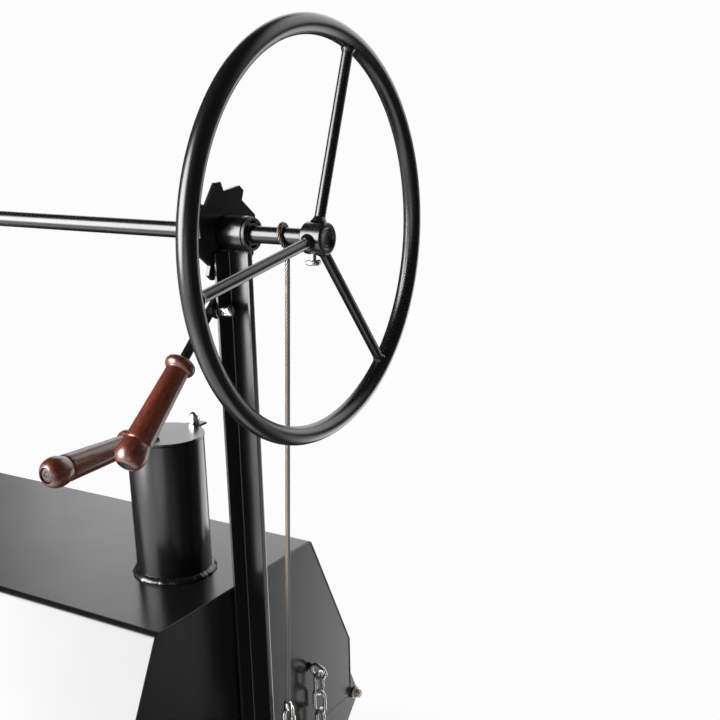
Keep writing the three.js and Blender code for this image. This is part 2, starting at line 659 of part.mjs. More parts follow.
function buildChimney() {
  const base = HOOD_TOP_Z + GAP;
  const capZ0 = CAP_TOP_Z - CAP_THICK;
  const centre = [CHIMNEY_X, CHIMNEY_Y, base];
  const height = capZ0 - GAP - base;
  add('chimney', ring(CHIMNEY_R, CHIMNEY_R - CHIMNEY_WALL, centre, Z_AXIS, height, 36), blackPaint());
  const bead = [
    [CHIMNEY_R + 1, 0], [CHIMNEY_R + 6, 0], [CHIMNEY_R + 5.6, 2.6], [CHIMNEY_R + 3.4, 5.2],
    [CHIMNEY_R + 1, 6.4], [CHIMNEY_R + 1, 0],
  ];
  add('chimney_weld', turned(bead, centre, Z_AXIS, 28), blackPaint());

  // Square ear of the cap and the lug beneath it, both round the pivot bolt.
  const earHalf = 10;
  const pivot = [CAP_PIVOT_X, CAP_PIVOT_Y];
  const fromPivot = ([u, v]) => [pivot[0] + u, pivot[1] + v];
  const ear = [[-earHalf, -14], [earHalf, -14], [earHalf, 12], [-earHalf, 12]].map(fromPivot);
  const capDisc = rod(CHIMNEY_R + 0.8, [CHIMNEY_X, CHIMNEY_Y, capZ0], Z_AXIS, CAP_THICK, 40);
  const capHole = rod(M8_CLEAR_R, [...pivot, capZ0 - 1], Z_AXIS, CAP_THICK + 2, 12);
  add('cap_disc', cut(
    join(capDisc, plateZ(outline(ear), capZ0, CAP_TOP_Z)),
    capHole,
  ), blackPaint());

  const lugZ1 = capZ0 - GAP;
  const lugZ0 = lugZ1 - 5;
  const lugShape = [[-8, -12], [8, -12], [8, 4], [4, 8.5], [-4, 8.5], [-8, 4]];
  const lug = plateZ(outline(lugShape.map(fromPivot)), lugZ0, lugZ1);
  const tube = rod(CHIMNEY_R + GAP, [CHIMNEY_X, CHIMNEY_Y, lugZ0 - 1], Z_AXIS, 7, 36);
  const lugHole = rod(M8_CLEAR_R, [...pivot, lugZ0 - 1], Z_AXIS, 7, 12);
  add('cap_lug', cut(lug, tube, lugHole), blackPaint());
  const pinHead = rod(5.5, [...pivot, lugZ0 - GAP - 3], Z_AXIS, 3, 16);
  const pin = rod(M8_R, [...pivot, lugZ0 - GAP - 3], Z_AXIS, 19, 12);
  add('cap_bolt', join(pinHead, pin), brightSteel());
  add('cap_nut', acornNut([...pivot, CAP_TOP_Z + GAP], Z_AXIS), brightSteel());

  // Rod and grip that swing the cap.
  const rodZ = CAP_TOP_Z + M8_R + GAP;
  const forward = new THREE.Vector3(0, -1, 0);
  const gripY = CHIMNEY_Y - CHIMNEY_R - 10.5;
  const rodStart = CHIMNEY_Y - 14;
  const rodLength = rodStart - gripY + GRIP_LENGTH - GRIP_RECESS - GAP;
  add('cap_rod', rod(M8_R, [CHIMNEY_X, rodStart, rodZ], forward, rodLength, 12), blackPaint());
  add('cap_grip', grip([CHIMNEY_X, gripY, rodZ], forward), redWood());
  const nutY = gripY - GRIP_LENGTH + GRIP_RECESS - GAP;
  add('cap_grip_nut', buildGripNut([CHIMNEY_X, nutY, rodZ], forward), brightSteel());
}

// Lid chain: an eye welded to the hood's end wall, and links that hang from it.

function buildChain() {
  // The eye is a link welded to the wall by one end, tilted down.
  const eye = linkRing(LINK_BEND_R, LINK_WIRE_R, EYE_STRAIGHT, [0, 0, 0], 'y', 16);
  eye.rotateY(Math.PI / 2 + EYE_TILT);
  eye.translate(CHAIN_X, CHAIN_Y, CHAIN_Z);
  const wallX = HALF_HOOD - HOOD_END_INSET + GAP;
  const reach = LINK_BEND_R + EYE_STRAIGHT / 2;
  const topZ = CHAIN_Z + reach * Math.sin(EYE_TILT);
  const shankLength = CHAIN_X - reach * Math.cos(EYE_TILT) - wallX;
  const shank = rod(LINK_WIRE_R + 0.6, [wallX, CHAIN_Y, topZ], X_AXIS, shankLength, 10);
  add('chain_eye', join(eye, shank), brightSteel());
  // The first link rests on the eye at the seat angle; each next link hangs in the bend above it.
  const pitch = LINK_STRAIGHT + 2 * (LINK_BEND_R - LINK_WIRE_R) - 2 * GAP;
  const seat = 0.9;
  const hangZ = CHAIN_Z - EYE_STRAIGHT / 2 * Math.sin(EYE_TILT) - LINK_BEND_R * Math.cos(seat);
  const firstZ = hangZ + 2 * LINK_WIRE_R + 2 * GAP - LINK_BEND_R - LINK_STRAIGHT / 2;
  for (let i = 0; i < LINK_COUNT; i++) {
    const facing = i % 2 === 0 ? 'x' : 'y';
    const centre = [CHAIN_X, CHAIN_Y, firstZ - i * pitch];
    const link = linkRing(LINK_BEND_R, LINK_WIRE_R, LINK_STRAIGHT, centre, facing);
    add(`chain_link_${i + 1}`, link, brightSteel());
  }
}

// Firebox and stand.

function buildFirebox() {
  const inside = WALL_X - END_WALL_THICK - GAP;
  const tray = plateX(bentSheet([
    [FIREBOX_FRONT_Y, FIREBOX_TOP_Z], [FIREBOX_FRONT_Y, FIREBOX_Z0], [FIREBOX_BACK_Y, FIREBOX_Z0],
    [FIREBOX_BACK_Y, FIREBOX_TOP_Z],
  ], FIREBOX_SHEET, 6), -inside, inside, 4);
  const lugs = [-inside, inside - 4].map((x0) => fireboxLug(x0));
  add('firebox_shell', join(tray, ...lugs), blackPaint());

  const slotHalf = ARM_R + 1;
  const slotZ0 = ARM_Z - ARM_R - 3;
  const slotZ1 = ARM_Z + GRATE_LIFT + ARM_R + 3;
  const wall = outline([
    [FIREBOX_FRONT_Y, FIREBOX_Z0], [FIREBOX_BACK_Y, FIREBOX_Z0], [FIREBOX_BACK_Y, FIREBOX_TOP_Z],
    [FIREBOX_FRONT_Y, FIREBOX_TOP_Z],
  ]);
  wall.holes.push(rectangleHole(ARM_Y - slotHalf, ARM_Y + slotHalf, slotZ0, slotZ1));
  add('firebox_end_right', plateX(wall, WALL_X - END_WALL_THICK, WALL_X), blackPaint());
  add('firebox_end_left', plateX(wall, -WALL_X, -WALL_X + END_WALL_THICK), blackPaint());
}

// Lug behind the firebox that carries one hinge bolt, next to the hood's own lug.
function fireboxLug(x0) {
  const shape = new THREE.Shape();
  const radius = 9.5;
  shape.moveTo(FIREBOX_BACK_Y - 1, FIREBOX_TOP_Z - 50);
  shape.lineTo(HINGE_Y + radius, HINGE_Z - 12);
  shape.absarc(HINGE_Y, HINGE_Z, radius, 0, Math.PI * 0.86, false);
  shape.lineTo(HINGE_Y - radius, FIREBOX_TOP_Z - 3);
  shape.lineTo(FIREBOX_BACK_Y - 1, FIREBOX_TOP_Z - 3);
  shape.closePath();
  shape.holes.push(roundHole(HINGE_Y, HINGE_Z, M8_CLEAR_R));
  return plateX(shape, x0, x0 + 4);
}

// A plate with parallel slots between its bars.
function slottedPlate(halfX, y0, y1, z0, z1, border, bar, gap) {
  const pitch = bar + gap;
  const count = Math.floor((2 * (halfX - border) + bar) / pitch);
  const first = -(count * pitch - bar) / 2;
  const slots = [];
  for (let i = 0; i < count; i++) {
    const left = first + i * pitch;
    slots.push(box(left, left + gap, y0 + border, y1 - border, z0 - 1, z1 + 1));
  }
  return cut(box(-halfX, halfX, y0, y1, z0, z1), ...slots);
}

function buildGrates() {
  const halfX = WALL_X - END_WALL_THICK - 12;
  const z0 = ARM_Z + ARM_R + GAP;
  const grate = slottedPlate(
    halfX, FIREBOX_FRONT_Y + 12, FIREBOX_BACK_Y - 12, z0, z0 + GRATE_THICK, 14, 10, 14,
  );
  add('cooking_grate', grate, bareIron());

  const floorZ = FIREBOX_Z0 + FIREBOX_SHEET + GAP;
  const plate = slottedPlate(
    halfX, FIREBOX_FRONT_Y + 20, FIREBOX_BACK_Y - 20, floorZ + 20, floorZ + 25, 20, 12, 26,
  );
  const runners = [FIREBOX_FRONT_Y + 24, FIREBOX_BACK_Y - 34].map((y) =>
    box(-halfX, halfX, y, y + 10, floorZ, floorZ + 21));
  add('charcoal_grate', join(plate, ...runners), bareIron());
}

function buildLiftArm(side) {
  const eyeZ = ROPE_END_Z - 51;
  const rail = new THREE.CurvePath();
  const bend = 14;
  const top = new THREE.Vector3(side * ARM_X, ARM_Y, eyeZ - 7);
  const beforeBend = new THREE.Vector3(side * ARM_X, ARM_Y, ARM_Z + bend);
  const corner = new THREE.Vector3(side * ARM_X, ARM_Y, ARM_Z);
  const afterBend = new THREE.Vector3(side * (ARM_X - bend), ARM_Y, ARM_Z);
  const end = new THREE.Vector3(side * (HALF_HOOD - 90), ARM_Y, ARM_Z);
  rail.add(new THREE.LineCurve3(top, beforeBend));
  rail.add(new THREE.QuadraticBezierCurve3(beforeBend, corner, afterBend));
  rail.add(new THREE.LineCurve3(afterBend, end));
  const eyeShape = new THREE.Shape();
  eyeShape.absarc(side * ARM_X, eyeZ, 9, 0, 2 * Math.PI, false);
  eyeShape.holes.push(roundHole(side * ARM_X, eyeZ, 5));
  const eye = extrude(eyeShape, 5, 10);
  eye.rotateX(Math.PI / 2);
  eye.translate(0, ARM_Y + 2.5, 0);
  return join(wire(rail, ARM_R, 26, 10), eye);
}

function buildCarabiner(side) {
  const bendR = 9;
  const wireR = 2.5;
  const straight = 30;
  const topZ = ROPE_END_Z - GAP;
  const centreZ = topZ - wireR - bendR - straight / 2;
  return linkRing(bendR, wireR, straight, [side * ARM_X, ARM_Y, centreZ], 'x', 14, 8);
}

// A stand frame: two angle-section legs joined by flat rails.
function buildLegFrame(side) {
  const legX = side * (HALF_HOOD - 30);
  const leg = 34;
  const thick = 3;
  const top = FIREBOX_Z0 - GAP;
  const yFront = FIREBOX_FRONT_Y + 10;
  const yBack = FIREBOX_BACK_Y - 10;
  const inward = -side;
  const angleLeg = (y, facing) => plateZ(outline([
    [legX, y], [legX + inward * leg, y], [legX + inward * leg, y + facing * thick],
    [legX + inward * thick, y + facing * thick], [legX + inward * thick, y + facing * leg],
    [legX, y + facing * leg],
  ]), 0, top);
  const [x0, x1] = side > 0 ? [legX - thick, legX] : [legX, legX + thick];
  const rail = (z) => box(x0, x1, yFront + 1, yBack - 1, z, z + 34);
  return join(angleLeg(yFront, 1), angleLeg(yBack, -1), rail(top - 34), rail(SHELF_Z - 34));
}

const SHELF_Z = 190;

function buildShelf() {
  const halfX = HALF_HOOD - 30 - 3 - GAP;
  const front = FIREBOX_FRONT_Y + 14;
  const back = FIREBOX_BACK_Y - 14;
  const tray = plateX(bentSheet([
    [front, SHELF_Z - 30], [front, SHELF_Z], [back, SHELF_Z], [back, SHELF_Z - 30],
  ], 2, 4), -halfX, halfX, 3);
  return tray;
}

buildWheel();
add('crossbar', buildShaft(), blackPaint());
add('ratchet_plate', buildRatchet(), blackPaint());
buildPawl();
buildPawlBolt();
for (const [side, name] of [[1, 'right'], [-1, 'left']]) {
  add(`post_${name}`, buildPost(side), blackPaint());
  add(`sleeve_${name}`, buildSleeve(side), blackPaint());
  add(`bush_outer_${name}`, buildOuterBush(side), darkPlastic());
  add(`bush_inner_${name}`, buildInnerBush(side), darkPlastic());
  add(`rope_wrap_${name}`, buildRopeWrap(side), ropeSteel());
  add(`rope_${name}`, buildHangingRope(side), ropeSteel());
  add(`snap_ring_${name}`, buildCarabiner(side), brightSteel());
  add(`lift_arm_${name}`, buildLiftArm(side), blackPaint());
  add(`leg_frame_${name}`, buildLegFrame(side), blackPaint());
}
buildHood();
buildHinges();
buildChimney();
buildChain();
buildFirebox();
buildGrates();
add('lower_shelf', buildShelf(), blackPaint());

// Move the object so that its outline is centred on the origin, standing on Z = 0.
const outlineBox = new THREE.Box3().setFromObject(group);
const centre = outlineBox.getCenter(new THREE.Vector3());
for (const mesh of group.children) {
  mesh.geometry.translate(-centre.x, -centre.y, -outlineBox.min.z);
}

export default group;
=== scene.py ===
import json
import math

import bmesh
import bpy
import numpy as np
from mathutils import Matrix, Vector, noise


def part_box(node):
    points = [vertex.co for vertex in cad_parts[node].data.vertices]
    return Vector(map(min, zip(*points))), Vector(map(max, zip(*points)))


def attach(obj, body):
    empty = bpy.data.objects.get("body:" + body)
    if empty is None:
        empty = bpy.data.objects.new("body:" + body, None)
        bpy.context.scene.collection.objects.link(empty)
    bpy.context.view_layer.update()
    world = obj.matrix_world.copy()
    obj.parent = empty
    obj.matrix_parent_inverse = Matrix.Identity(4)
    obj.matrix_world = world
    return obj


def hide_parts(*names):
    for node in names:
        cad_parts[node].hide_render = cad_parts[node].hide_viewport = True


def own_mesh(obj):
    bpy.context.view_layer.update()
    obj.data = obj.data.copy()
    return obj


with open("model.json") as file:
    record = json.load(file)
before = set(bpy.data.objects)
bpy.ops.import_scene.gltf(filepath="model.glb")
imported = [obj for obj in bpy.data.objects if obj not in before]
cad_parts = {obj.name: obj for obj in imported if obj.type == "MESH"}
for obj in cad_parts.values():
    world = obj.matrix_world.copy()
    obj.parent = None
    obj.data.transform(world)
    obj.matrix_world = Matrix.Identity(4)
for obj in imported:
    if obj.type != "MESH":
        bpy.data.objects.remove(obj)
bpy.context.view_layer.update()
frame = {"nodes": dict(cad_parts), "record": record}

# Lengths below are millimetres in the CAD source's own frame: X from the middle of the hood,
# Y from the crossbar's axis, Z from the floor.
SHAFT_Z = 1600.0
HALF_HOOD = 410.0
WHEEL_X = HALF_HOOD + 121
ROPE_X = WHEEL_X - 46.5
POST_X0 = HALF_HOOD + 2
WHEEL_R = 214.5
PAWL_Y, PAWL_Z = -20.0, SHAFT_Z - 85
CHIMNEY = (HALF_HOOD - 101, -15.0)
HOOD_TOP_Z = SHAFT_Z - 428
HOOD_KNEE_Z = SHAFT_Z - 620
HOOD_FOOT_Z = SHAFT_Z - 714
HOOD_FRONT_Y, HOOD_BACK_Y = -264.0, 242.0
CAP_TOP_Z = SHAFT_Z - 247
HINGE_Y, HINGE_Z = 252.0, SHAFT_Z - 717
BAR_R = 9.5
ROPE_R = 2.8
ROPE_HOLE_X = ROPE_X + 20.5
ROPE_END_X, ROPE_END_Y, ROPE_END_Z = ROPE_X - 24, 8, SHAFT_Z - 596
RIGHT_HAND_LAY = 1
SIDES = ((1, "right"), (-1, "left"))

_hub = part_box("wheel_hub")
OFFSET = Vector((WHEEL_X + 1.5, 0, SHAFT_Z)) - (_hub[0] + _hub[1]) / 2 * 1000

X, Y, Z = Vector((1, 0, 0)), Vector((0, 1, 0)), Vector((0, 0, 1))


def row(p):
    return (Vector(p) - OFFSET) / 1000


# Camera, with the photograph's viewing angle and framing.
def make_camera():
    data = bpy.data.cameras.new("camera")
    data.sensor_width = 36
    data.lens = 55.264
    data.shift_x, data.shift_y = -0.018639, 0.153458
    data.clip_start, data.clip_end = 0.05, 200
    cam = bpy.data.objects.new("camera", data)
    bpy.context.scene.collection.objects.link(cam)
    azimuth, elevation, roll = (math.radians(v) for v in (30.71, 18.93, -0.79))
    level = math.cos(elevation)
    back = Vector((math.sin(azimuth) * level, -math.cos(azimuth) * level, math.sin(elevation)))
    right = Vector((math.cos(azimuth), math.sin(azimuth), 0))
    up = back.cross(right)
    rolled_right = math.cos(roll) * right + math.sin(roll) * up
    rolled_up = -math.sin(roll) * right + math.cos(roll) * up
    m = Matrix((rolled_right, rolled_up, back)).transposed().to_4x4()
    m.translation = row((WHEEL_X + 664.83, -1006.07, SHAFT_Z + 148.44))
    cam.matrix_world = m
    bpy.context.scene.camera = cam


make_camera()
bpy.context.scene.view_settings.view_transform = "Standard"


# Materials.
class Nodes:
    """Short way to build a node tree."""

    def __init__(self, name):
        self.material = bpy.data.materials.new(name)
        self.material.use_nodes = True
        self.tree = self.material.node_tree
        self.bsdf = self.tree.nodes["Principled BSDF"]

    def add(self, kind, **values):
        node = self.tree.nodes.new(kind)
        for key, value in values.items():
            if hasattr(node, key):
                setattr(node, key, value)
            else:
                node.inputs[key.replace("_", " ")].default_value = value
        return node

    def link(self, a, b):
        self.tree.links.new(a, b)

    def set(self, **values):
        for key, value in values.items():
            self.bsdf.inputs[key.replace("_", " ")].default_value = value

    def noise(self, vector, scale, detail=3.0, rough=0.5):
        node = self.add("ShaderNodeTexNoise", Scale=scale, Detail=detail, Roughness=rough)
        self.link(vector, node.inputs["Vector"])
        return node.outputs["Fac"]

    def ramp(self, value, stops):
        node = self.add("ShaderNodeValToRGB")
        elements = node.color_ramp.elements
        while len(elements) < len(stops):
            elements.new(0.5)
        for element, (position, color) in zip(elements, stops):
            element.position = position
            element.color = (*color, 1) if isinstance(color, tuple) else (color, color, color, 1)
        self.link(value, node.inputs["Fac"])
        return node.outputs["Color"]

    def multiplied(self, base, over, share):
        node = self.add("ShaderNodeMix", data_type="RGBA", blend_type="MULTIPLY")
        factor, a, b = (node.inputs[i] for i in (0, 6, 7))
        factor.default_value = share
        self.link(base, a)
        self.link(over, b)
        return node.outputs[2]

    def bump(self, height, strength, distance):
        node = self.add("ShaderNodeBump", Strength=strength, Distance=distance)
        self.link(height, node.inputs["Height"])
        self.link(node.outputs["Normal"], self.bsdf.inputs["Normal"])


def powder_coat(name, rough=(0.21, 0.24), peel=1.0):
    n = Nodes(name)
    tone = 0.006
    co = n.add("ShaderNodeTexCoord").outputs["Object"]
    darker, lighter = (tone * 0.85, tone * 0.85, tone * 0.95), (tone, tone, tone * 1.1)
    n.link(n.ramp(n.noise(co, 9), [(0.3, darker), (0.7, lighter)]), n.bsdf.inputs["Base Color"])
    n.link(n.ramp(n.noise(co, 14, 3), [(0.35, rough[0]), (0.65, rough[1])]), n.bsdf.inputs["Roughness"])
    n.bump(n.noise(co, 700, 2), 0.03 * peel, 0.0002)
    n.set(IOR=1.5)
    return n.material


def weld_metal():
    n = Nodes("weld_paint")
    co = n.add("ShaderNodeTexCoord").outputs["Object"]
    n.link(n.ramp(n.noise(co, 200), [(0.3, 0.004), (0.7, 0.009)]), n.bsdf.inputs["Base Color"])
    n.link(n.ramp(n.noise(co, 200), [(0.35, 0.2), (0.7, 0.3)]), n.bsdf.inputs["Roughness"])
    n.bump(n.noise(co, 260, 2), 0.15, 0.0006)
    return n.material


def bright_metal(name, color, rough, scratch=400, metallic=1.0):
    n = Nodes(name)
    co = n.add("ShaderNodeTexCoord").outputs["Object"]
    dark = tuple(c * 0.78 for c in color)
    n.link(n.ramp(n.noise(co, scratch, 4), [(0.35, dark), (0.6, color)]), n.bsdf.inputs["Base Color"])
    polish = n.ramp(n.noise(co, scratch * 1.7, 3), [(0.3, rough * 0.7), (0.7, rough * 1.4)])
    n.link(polish, n.bsdf.inputs["Roughness"])
    n.bump(n.noise(co, scratch * 3, 2), 0.15, 0.0002)
    n.set(Metallic=metallic)
    return n.material


def lacquered_wood():
    n = Nodes("lacquered_wood")
    grain = n.add("ShaderNodeAttribute", attribute_name="grain").outputs["Vector"]
    stretch = n.add("ShaderNodeMapping")
    stretch.inputs["Scale"].default_value = (9, 120, 120)
    n.link(grain, stretch.inputs["Vector"])
    browns = [(0.34, (0.052, 0.009, 0.005)), (0.5, (0.115, 0.021, 0.009)), (0.68, (0.19, 0.040, 0.016))]
    streaks = n.ramp(n.noise(stretch.outputs["Vector"], 1.0, 6, 0.62), browns)
    pores = n.add("ShaderNodeMapping")
    pores.inputs["Scale"].default_value = (160, 1100, 1100)
    n.link(grain, pores.inputs["Vector"])
    speck = n.ramp(n.noise(pores.outputs["Vector"], 1.0, 2), [(0.41, 0.08), (0.50, 1.0)])
    n.link(n.multiplied(streaks, speck, 0.85), n.bsdf.inputs["Base Color"])
    n.set(Roughness=0.42, IOR=1.5)
    n.bsdf.inputs["Coat Weight"].default_value = 0.6
    n.bsdf.inputs["Coat Roughness"].default_value = 0.06
    n.bump(n.noise(pores.outputs["Vector"], 0.7, 2), 0.12, 0.0002)
    return n.material


def wire_strand(name, bright):
    n = Nodes(name)
    co = n.add("ShaderNodeTexCoord").outputs["Object"]
    dull = tuple(c * 0.6 for c in bright)
    metal = n.ramp(n.noise(co, 900, 3), [(0.35, dull), (0.6, bright)])
    depth = n.add("ShaderNodeAttribute", attribute_name="grain").outputs["Vector"]
    split = n.add("ShaderNodeSeparateXYZ")
    n.link(depth, split.inputs[0])
    # Painted shade: the colour darkens towards the rope's axis, in the valleys between strands, while the
    # outermost surface keeps its own colour.
    painted_valley_shade = [(0.94, (0.03, 0.018, 0.012)), (0.978, (0.26, 0.21, 0.18)), (0.997, (1.0, 1.0, 1.0))]
    valley = n.ramp(split.outputs["X"], painted_valley_shade)
    n.link(n.multiplied(metal, valley, 1.0), n.bsdf.inputs["Base Color"])
    n.link(n.ramp(n.noise(co, 1500, 2), [(0.3, 0.28), (0.7, 0.5)]), n.bsdf.inputs["Roughness"])
    n.bump(n.noise(co, 2500, 1), 0.3, 0.0002)
    n.set(Metallic=0.5)
    return n.material


def iron():
    n = Nodes("bare_iron")
    co = n.add("ShaderNodeTexCoord").outputs["Object"]
    browns = [(0.3, (0.035, 0.03, 0.027)), (0.7, (0.09, 0.08, 0.072))]
    n.link(n.ramp(n.noise(co, 40, 5), browns), n.bsdf.inputs["Base Color"])
    n.link(n.ramp(n.noise(co, 120, 4), [(0.3, 0.45), (0.7, 0.7)]), n.bsdf.inputs["Roughness"])
    n.bump(n.noise(co, 500, 3), 0.3, 0.0005)
    n.set(Metallic=0.7)
    return n.material


def plastic():
    n = Nodes("black_plastic")
    co = n.add("ShaderNodeTexCoord").outputs["Object"]
    n.link(n.ramp(n.noise(co, 50), [(0.3, 0.006), (0.7, 0.010)]), n.bsdf.inputs["Base Color"])
    n.link(n.ramp(n.noise(co, 150), [(0.3, 0.35), (0.7, 0.5)]), n.bsdf.inputs["Roughness"])
    n.bump(n.noise(co, 1200, 2), 0.1, 0.0002)
    return n.material


PAINT = powder_coat("powder_coat")
PAINT_ROUND = powder_coat("powder_coat_tube", rough=(0.23, 0.26), peel=0.05)
WELD = weld_metal()
ZINC = bright_metal("bright_zinc", (0.78, 0.75, 0.70), 0.2)
CHAIN_ZINC = bright_metal("chain_zinc", (0.62, 0.60, 0.57), 0.26, 250)
SCREW_STEEL = bright_metal("screw_steel", (0.45, 0.47, 0.50), 0.36)
HINGE_STEEL = bright_metal("hinge_steel", (0.72, 0.62, 0.52), 0.45, metallic=0.45)
NUT_STEEL = bright_metal("nut_steel", (0.055, 0.048, 0.047), 0.42)
WOOD = lacquered_wood()
ROPE = wire_strand("rope_wire", (0.95, 0.87, 0.80))
ROPE_WRAP = wire_strand("rope_wire_wrapped", (0.42, 0.33, 0.27))
IRON = iron()
PLASTIC = plastic()
FINISH = {
    "black_powder_coat": PAINT, "bright_zinc": ZINC, "lacquered_wood": WOOD,
    "wire_rope": ROPE, "bare_iron": IRON, "black_plastic": PLASTIC,
}
SLOT_OF = {s["node"]: s["material_slot"] for s in frame["record"]["subparts"]}
BODY_OF = {n: body for body, nodes in frame["record"]["behaviour"]["bodies"].items() for n in nodes}

for node_name, node in frame["nodes"].items():
    node.data.materials.clear()
    node.data.materials.append(FINISH[SLOT_OF[node_name]])


# Mesh building.
def piece(name, verts, faces, material, stands_for=(), body=None, sharp=35, bevel=0.0, grain=None,
          flat=False):
    """A visible piece from millimetre points. Edges sharper than `sharp` degrees stay hard."""
    mesh = bpy.data.meshes.new(name)
    mesh.from_pydata([tuple(row(v)) for v in verts], [], faces)
    return finish_piece(name, mesh, material, stands_for, body, sharp, bevel, grain, flat)


def finish_piece(name, mesh, material, stands_for, body, sharp, bevel=0.0, grain=None, flat=False):
    if grain is not None:
        layer = mesh.attributes.new("grain", "FLOAT_VECTOR", "POINT")
        layer.data.foreach_set("vector", np.asarray(grain, np.float32).ravel() / 1000)
    bm = bmesh.new()
    bm.from_mesh(mesh)
    bmesh.ops.recalc_face_normals(bm, faces=bm.faces)
    bm.to_mesh(mesh)
    bm.free()
    mesh.shade_smooth()
    mesh.set_sharp_from_angle(angle=math.radians(sharp))
    mesh.materials.append(material)
    o = bpy.data.objects.new(name, mesh)
    bpy.context.scene.collection.objects.link(o)
    if bevel:
        m = o.modifiers.new("edge", "BEVEL")
        m.width, m.segments, m.limit_method = bevel / 1000, 2, "ANGLE"
        m.angle_limit = math.radians(30)
    if flat:
        m = o.modifiers.new("flat", "WEIGHTED_NORMAL")
        m.keep_sharp = True
    stands_for = [stands_for] if isinstance(stands_for, str) else list(stands_for)
    body = body or BODY_OF[stands_for[0]]
    if stands_for:
        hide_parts(*stands_for)
    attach(o, body)
    return o


def refined(node, bevel, outer_x=None):
    """The CAD node's own shape with flat faces joined up and its edges eased.

    outer_x moves the outermost X face of an end wall to that distance from the middle."""
    source = frame["nodes"][node].data
    bm = bmesh.new()
    bm.from_mesh(source)
    bmesh.ops.remove_doubles(bm, verts=bm.verts, dist=1e-6)
    if outer_x is not None:
        far = max(abs(v.co.x * 1000 + OFFSET.x) for v in bm.verts) - 0.1
        for v in bm.verts:
            x = v.co.x * 1000 + OFFSET.x
            if abs(x) > far:
                v.co.x = (math.copysign(outer_x, x) - OFFSET.x) / 1000
    bmesh.ops.dissolve_limit(bm, angle_limit=math.radians(0.6), verts=bm.verts, edges=bm.edges)
    mesh = bpy.data.meshes.new(node + "_look")
    bm.to_mesh(mesh)
    bm.free()
    return finish_piece(node + "_look", mesh, FINISH[SLOT_OF[node]], node, None, 32, bevel, flat=True)


def basis(axis):
    axis = Vector(axis).normalized()
    helper = Z if abs(axis.z) < 0.9 else X
    u = helper.cross(axis).normalized()
    return axis, u, axis.cross(u)


def lathe(profile, start, axis, segs=64, wobble=None):
    """Turned surface; profile pairs are (radius, distance along). Closed when ends are on the axis or meet.

    wobble(radius, along, angle) gives the radius to use there and a shift along the axis."""
    axis, u, v = basis(axis)
    start = Vector(start)
    closed = profile[0] == profile[-1]
    pts = profile[:-1] if closed else profile
    verts, rings, grain = [], [], []
    for r, along in pts:
        if r < 1e-6:
            rings.append([len(verts)])
            verts.append(start + axis * along)
            grain.append((along, 0, 0))
            continue
        ring = []
        for k in range(segs):
            a = 2 * math.pi * k / segs
            rr, shift = (r, 0) if wobble is None else wobble(r, along, a)
            ring.append(len(verts))
            verts.append(start + axis * (along + shift) + rr * (math.cos(a) * u + math.sin(a) * v))
            grain.append((along + shift, rr * math.cos(a), rr * math.sin(a)))
        rings.append(ring)
    faces = []
    pairs = list(zip(rings, rings[1:])) + ([(rings[-1], rings[0])] if closed else [])
    for a, b in pairs:
        for k in range(segs):
            k2 = (k + 1) % segs
            if len(a) == 1 and len(b) == 1:
                continue
            if len(a) == 1:
                faces.append((a[0], b[k2], b[k]))
            elif len(b) == 1:
                faces.append((a[k], a[k2], b[0]))
            else:
                faces.append((a[k], a[k2], b[k2], b[k]))
    return verts, faces, grain


def rounded(profile, radius=0.8, steps=3, sharper_than=25):
    """Profile with its sharp corners eased."""
    out = [profile[0]]
    for i in range(1, len(profile) - 1):
        a, b, c = (np.array(profile[j], float) for j in (i - 1, i, i + 1))
        d0, d1 = b - a, c - b
        l0, l1 = np.linalg.norm(d0), np.linalg.norm(d1)
        turn = math.degrees(math.acos(max(-1, min(1, float(d0 @ d1) / (l0 * l1)))))
        if turn < sharper_than:
            out.append(profile[i])
            continue
        t = min(radius, 0.45 * l0, 0.45 * l1)
        p, q = b - d0 / l0 * t, b + d1 / l1 * t
        for s in range(steps + 1):
            w = s / steps
            out.append(tuple(float(c) for c in (1 - w) ** 2 * p + 2 * w * (1 - w) * b + w * w * q))
    out.append(profile[-1])
    return out


def smooth_curve(points, per=6):
    """Catmull-Rom through the points."""
    p = [Vector(q) for q in points]
    p = [2 * p[0] - p[1], *p, 2 * p[-1] - p[-2]]
    out = []
    for i in range(1, len(p) - 2):
        for s in range(per):
            t = s / per
            out.append(0.5 * (2 * p[i] + (p[i + 1] - p[i - 1]) * t
                              + (2 * p[i - 1] - 5 * p[i] + 4 * p[i + 1] - p[i + 2]) * t * t
                              + (3 * p[i] - 3 * p[i + 1] + p[i + 2] - p[i - 1]) * t ** 3))
    out.append(p[-2])
    return out


def tube(points, radius, sides=16, closed=False, twist=0.0, offset=(0, 0), radius_at=None):
    """Tube along points. offset and twist (radians per mm) wind it round the path, as a strand."""
    p = [Vector(q) for q in points]
    n = len(p)
    tangents = []
    for i in range(n):
        a = p[i - 1] if i or closed else p[0]
        b = p[(i + 1) % n] if i < n - 1 or closed else p[-1]
        tangents.append((b - a).normalized())
    _, u, _ = basis(tangents[0])
    verts, rings, centres, frames = [], [], [], []
    length = 0.0
    for i in range(n):
        if i:
            length += (p[i] - p[i - 1]).length
            u = (u - tangents[i] * u.dot(tangents[i])).normalized()
        v = tangents[i].cross(u)
        a = twist * length
        frames.append((u.copy(), v.copy()))
        along_u = offset[0] * math.cos(a) - offset[1] * math.sin(a)
        along_v = offset[0] * math.sin(a) + offset[1] * math.cos(a)
        centres.append(p[i] + u * along_u + v * along_v)
    for i in range(n):
        r = radius if radius_at is None else radius_at(i / (n - 1))
        u, v = frames[i]
        ring = []
        for k in range(sides):
            a = 2 * math.pi * k / sides
            ring.append(len(verts))
            verts.append(centres[i] + r * (math.cos(a) * u + math.sin(a) * v))
        rings.append(ring)
    faces = []
    for i in range(n if closed else n - 1):
        a, b = rings[i], rings[(i + 1) % n]
        for k in range(sides):
            k2 = (k + 1) % sides
            faces.append((a[k], a[k2], b[k2], b[k]))
    if not closed:
        faces.append(tuple(reversed(rings[0])))
        faces.append(tuple(rings[-1]))
    return verts, faces


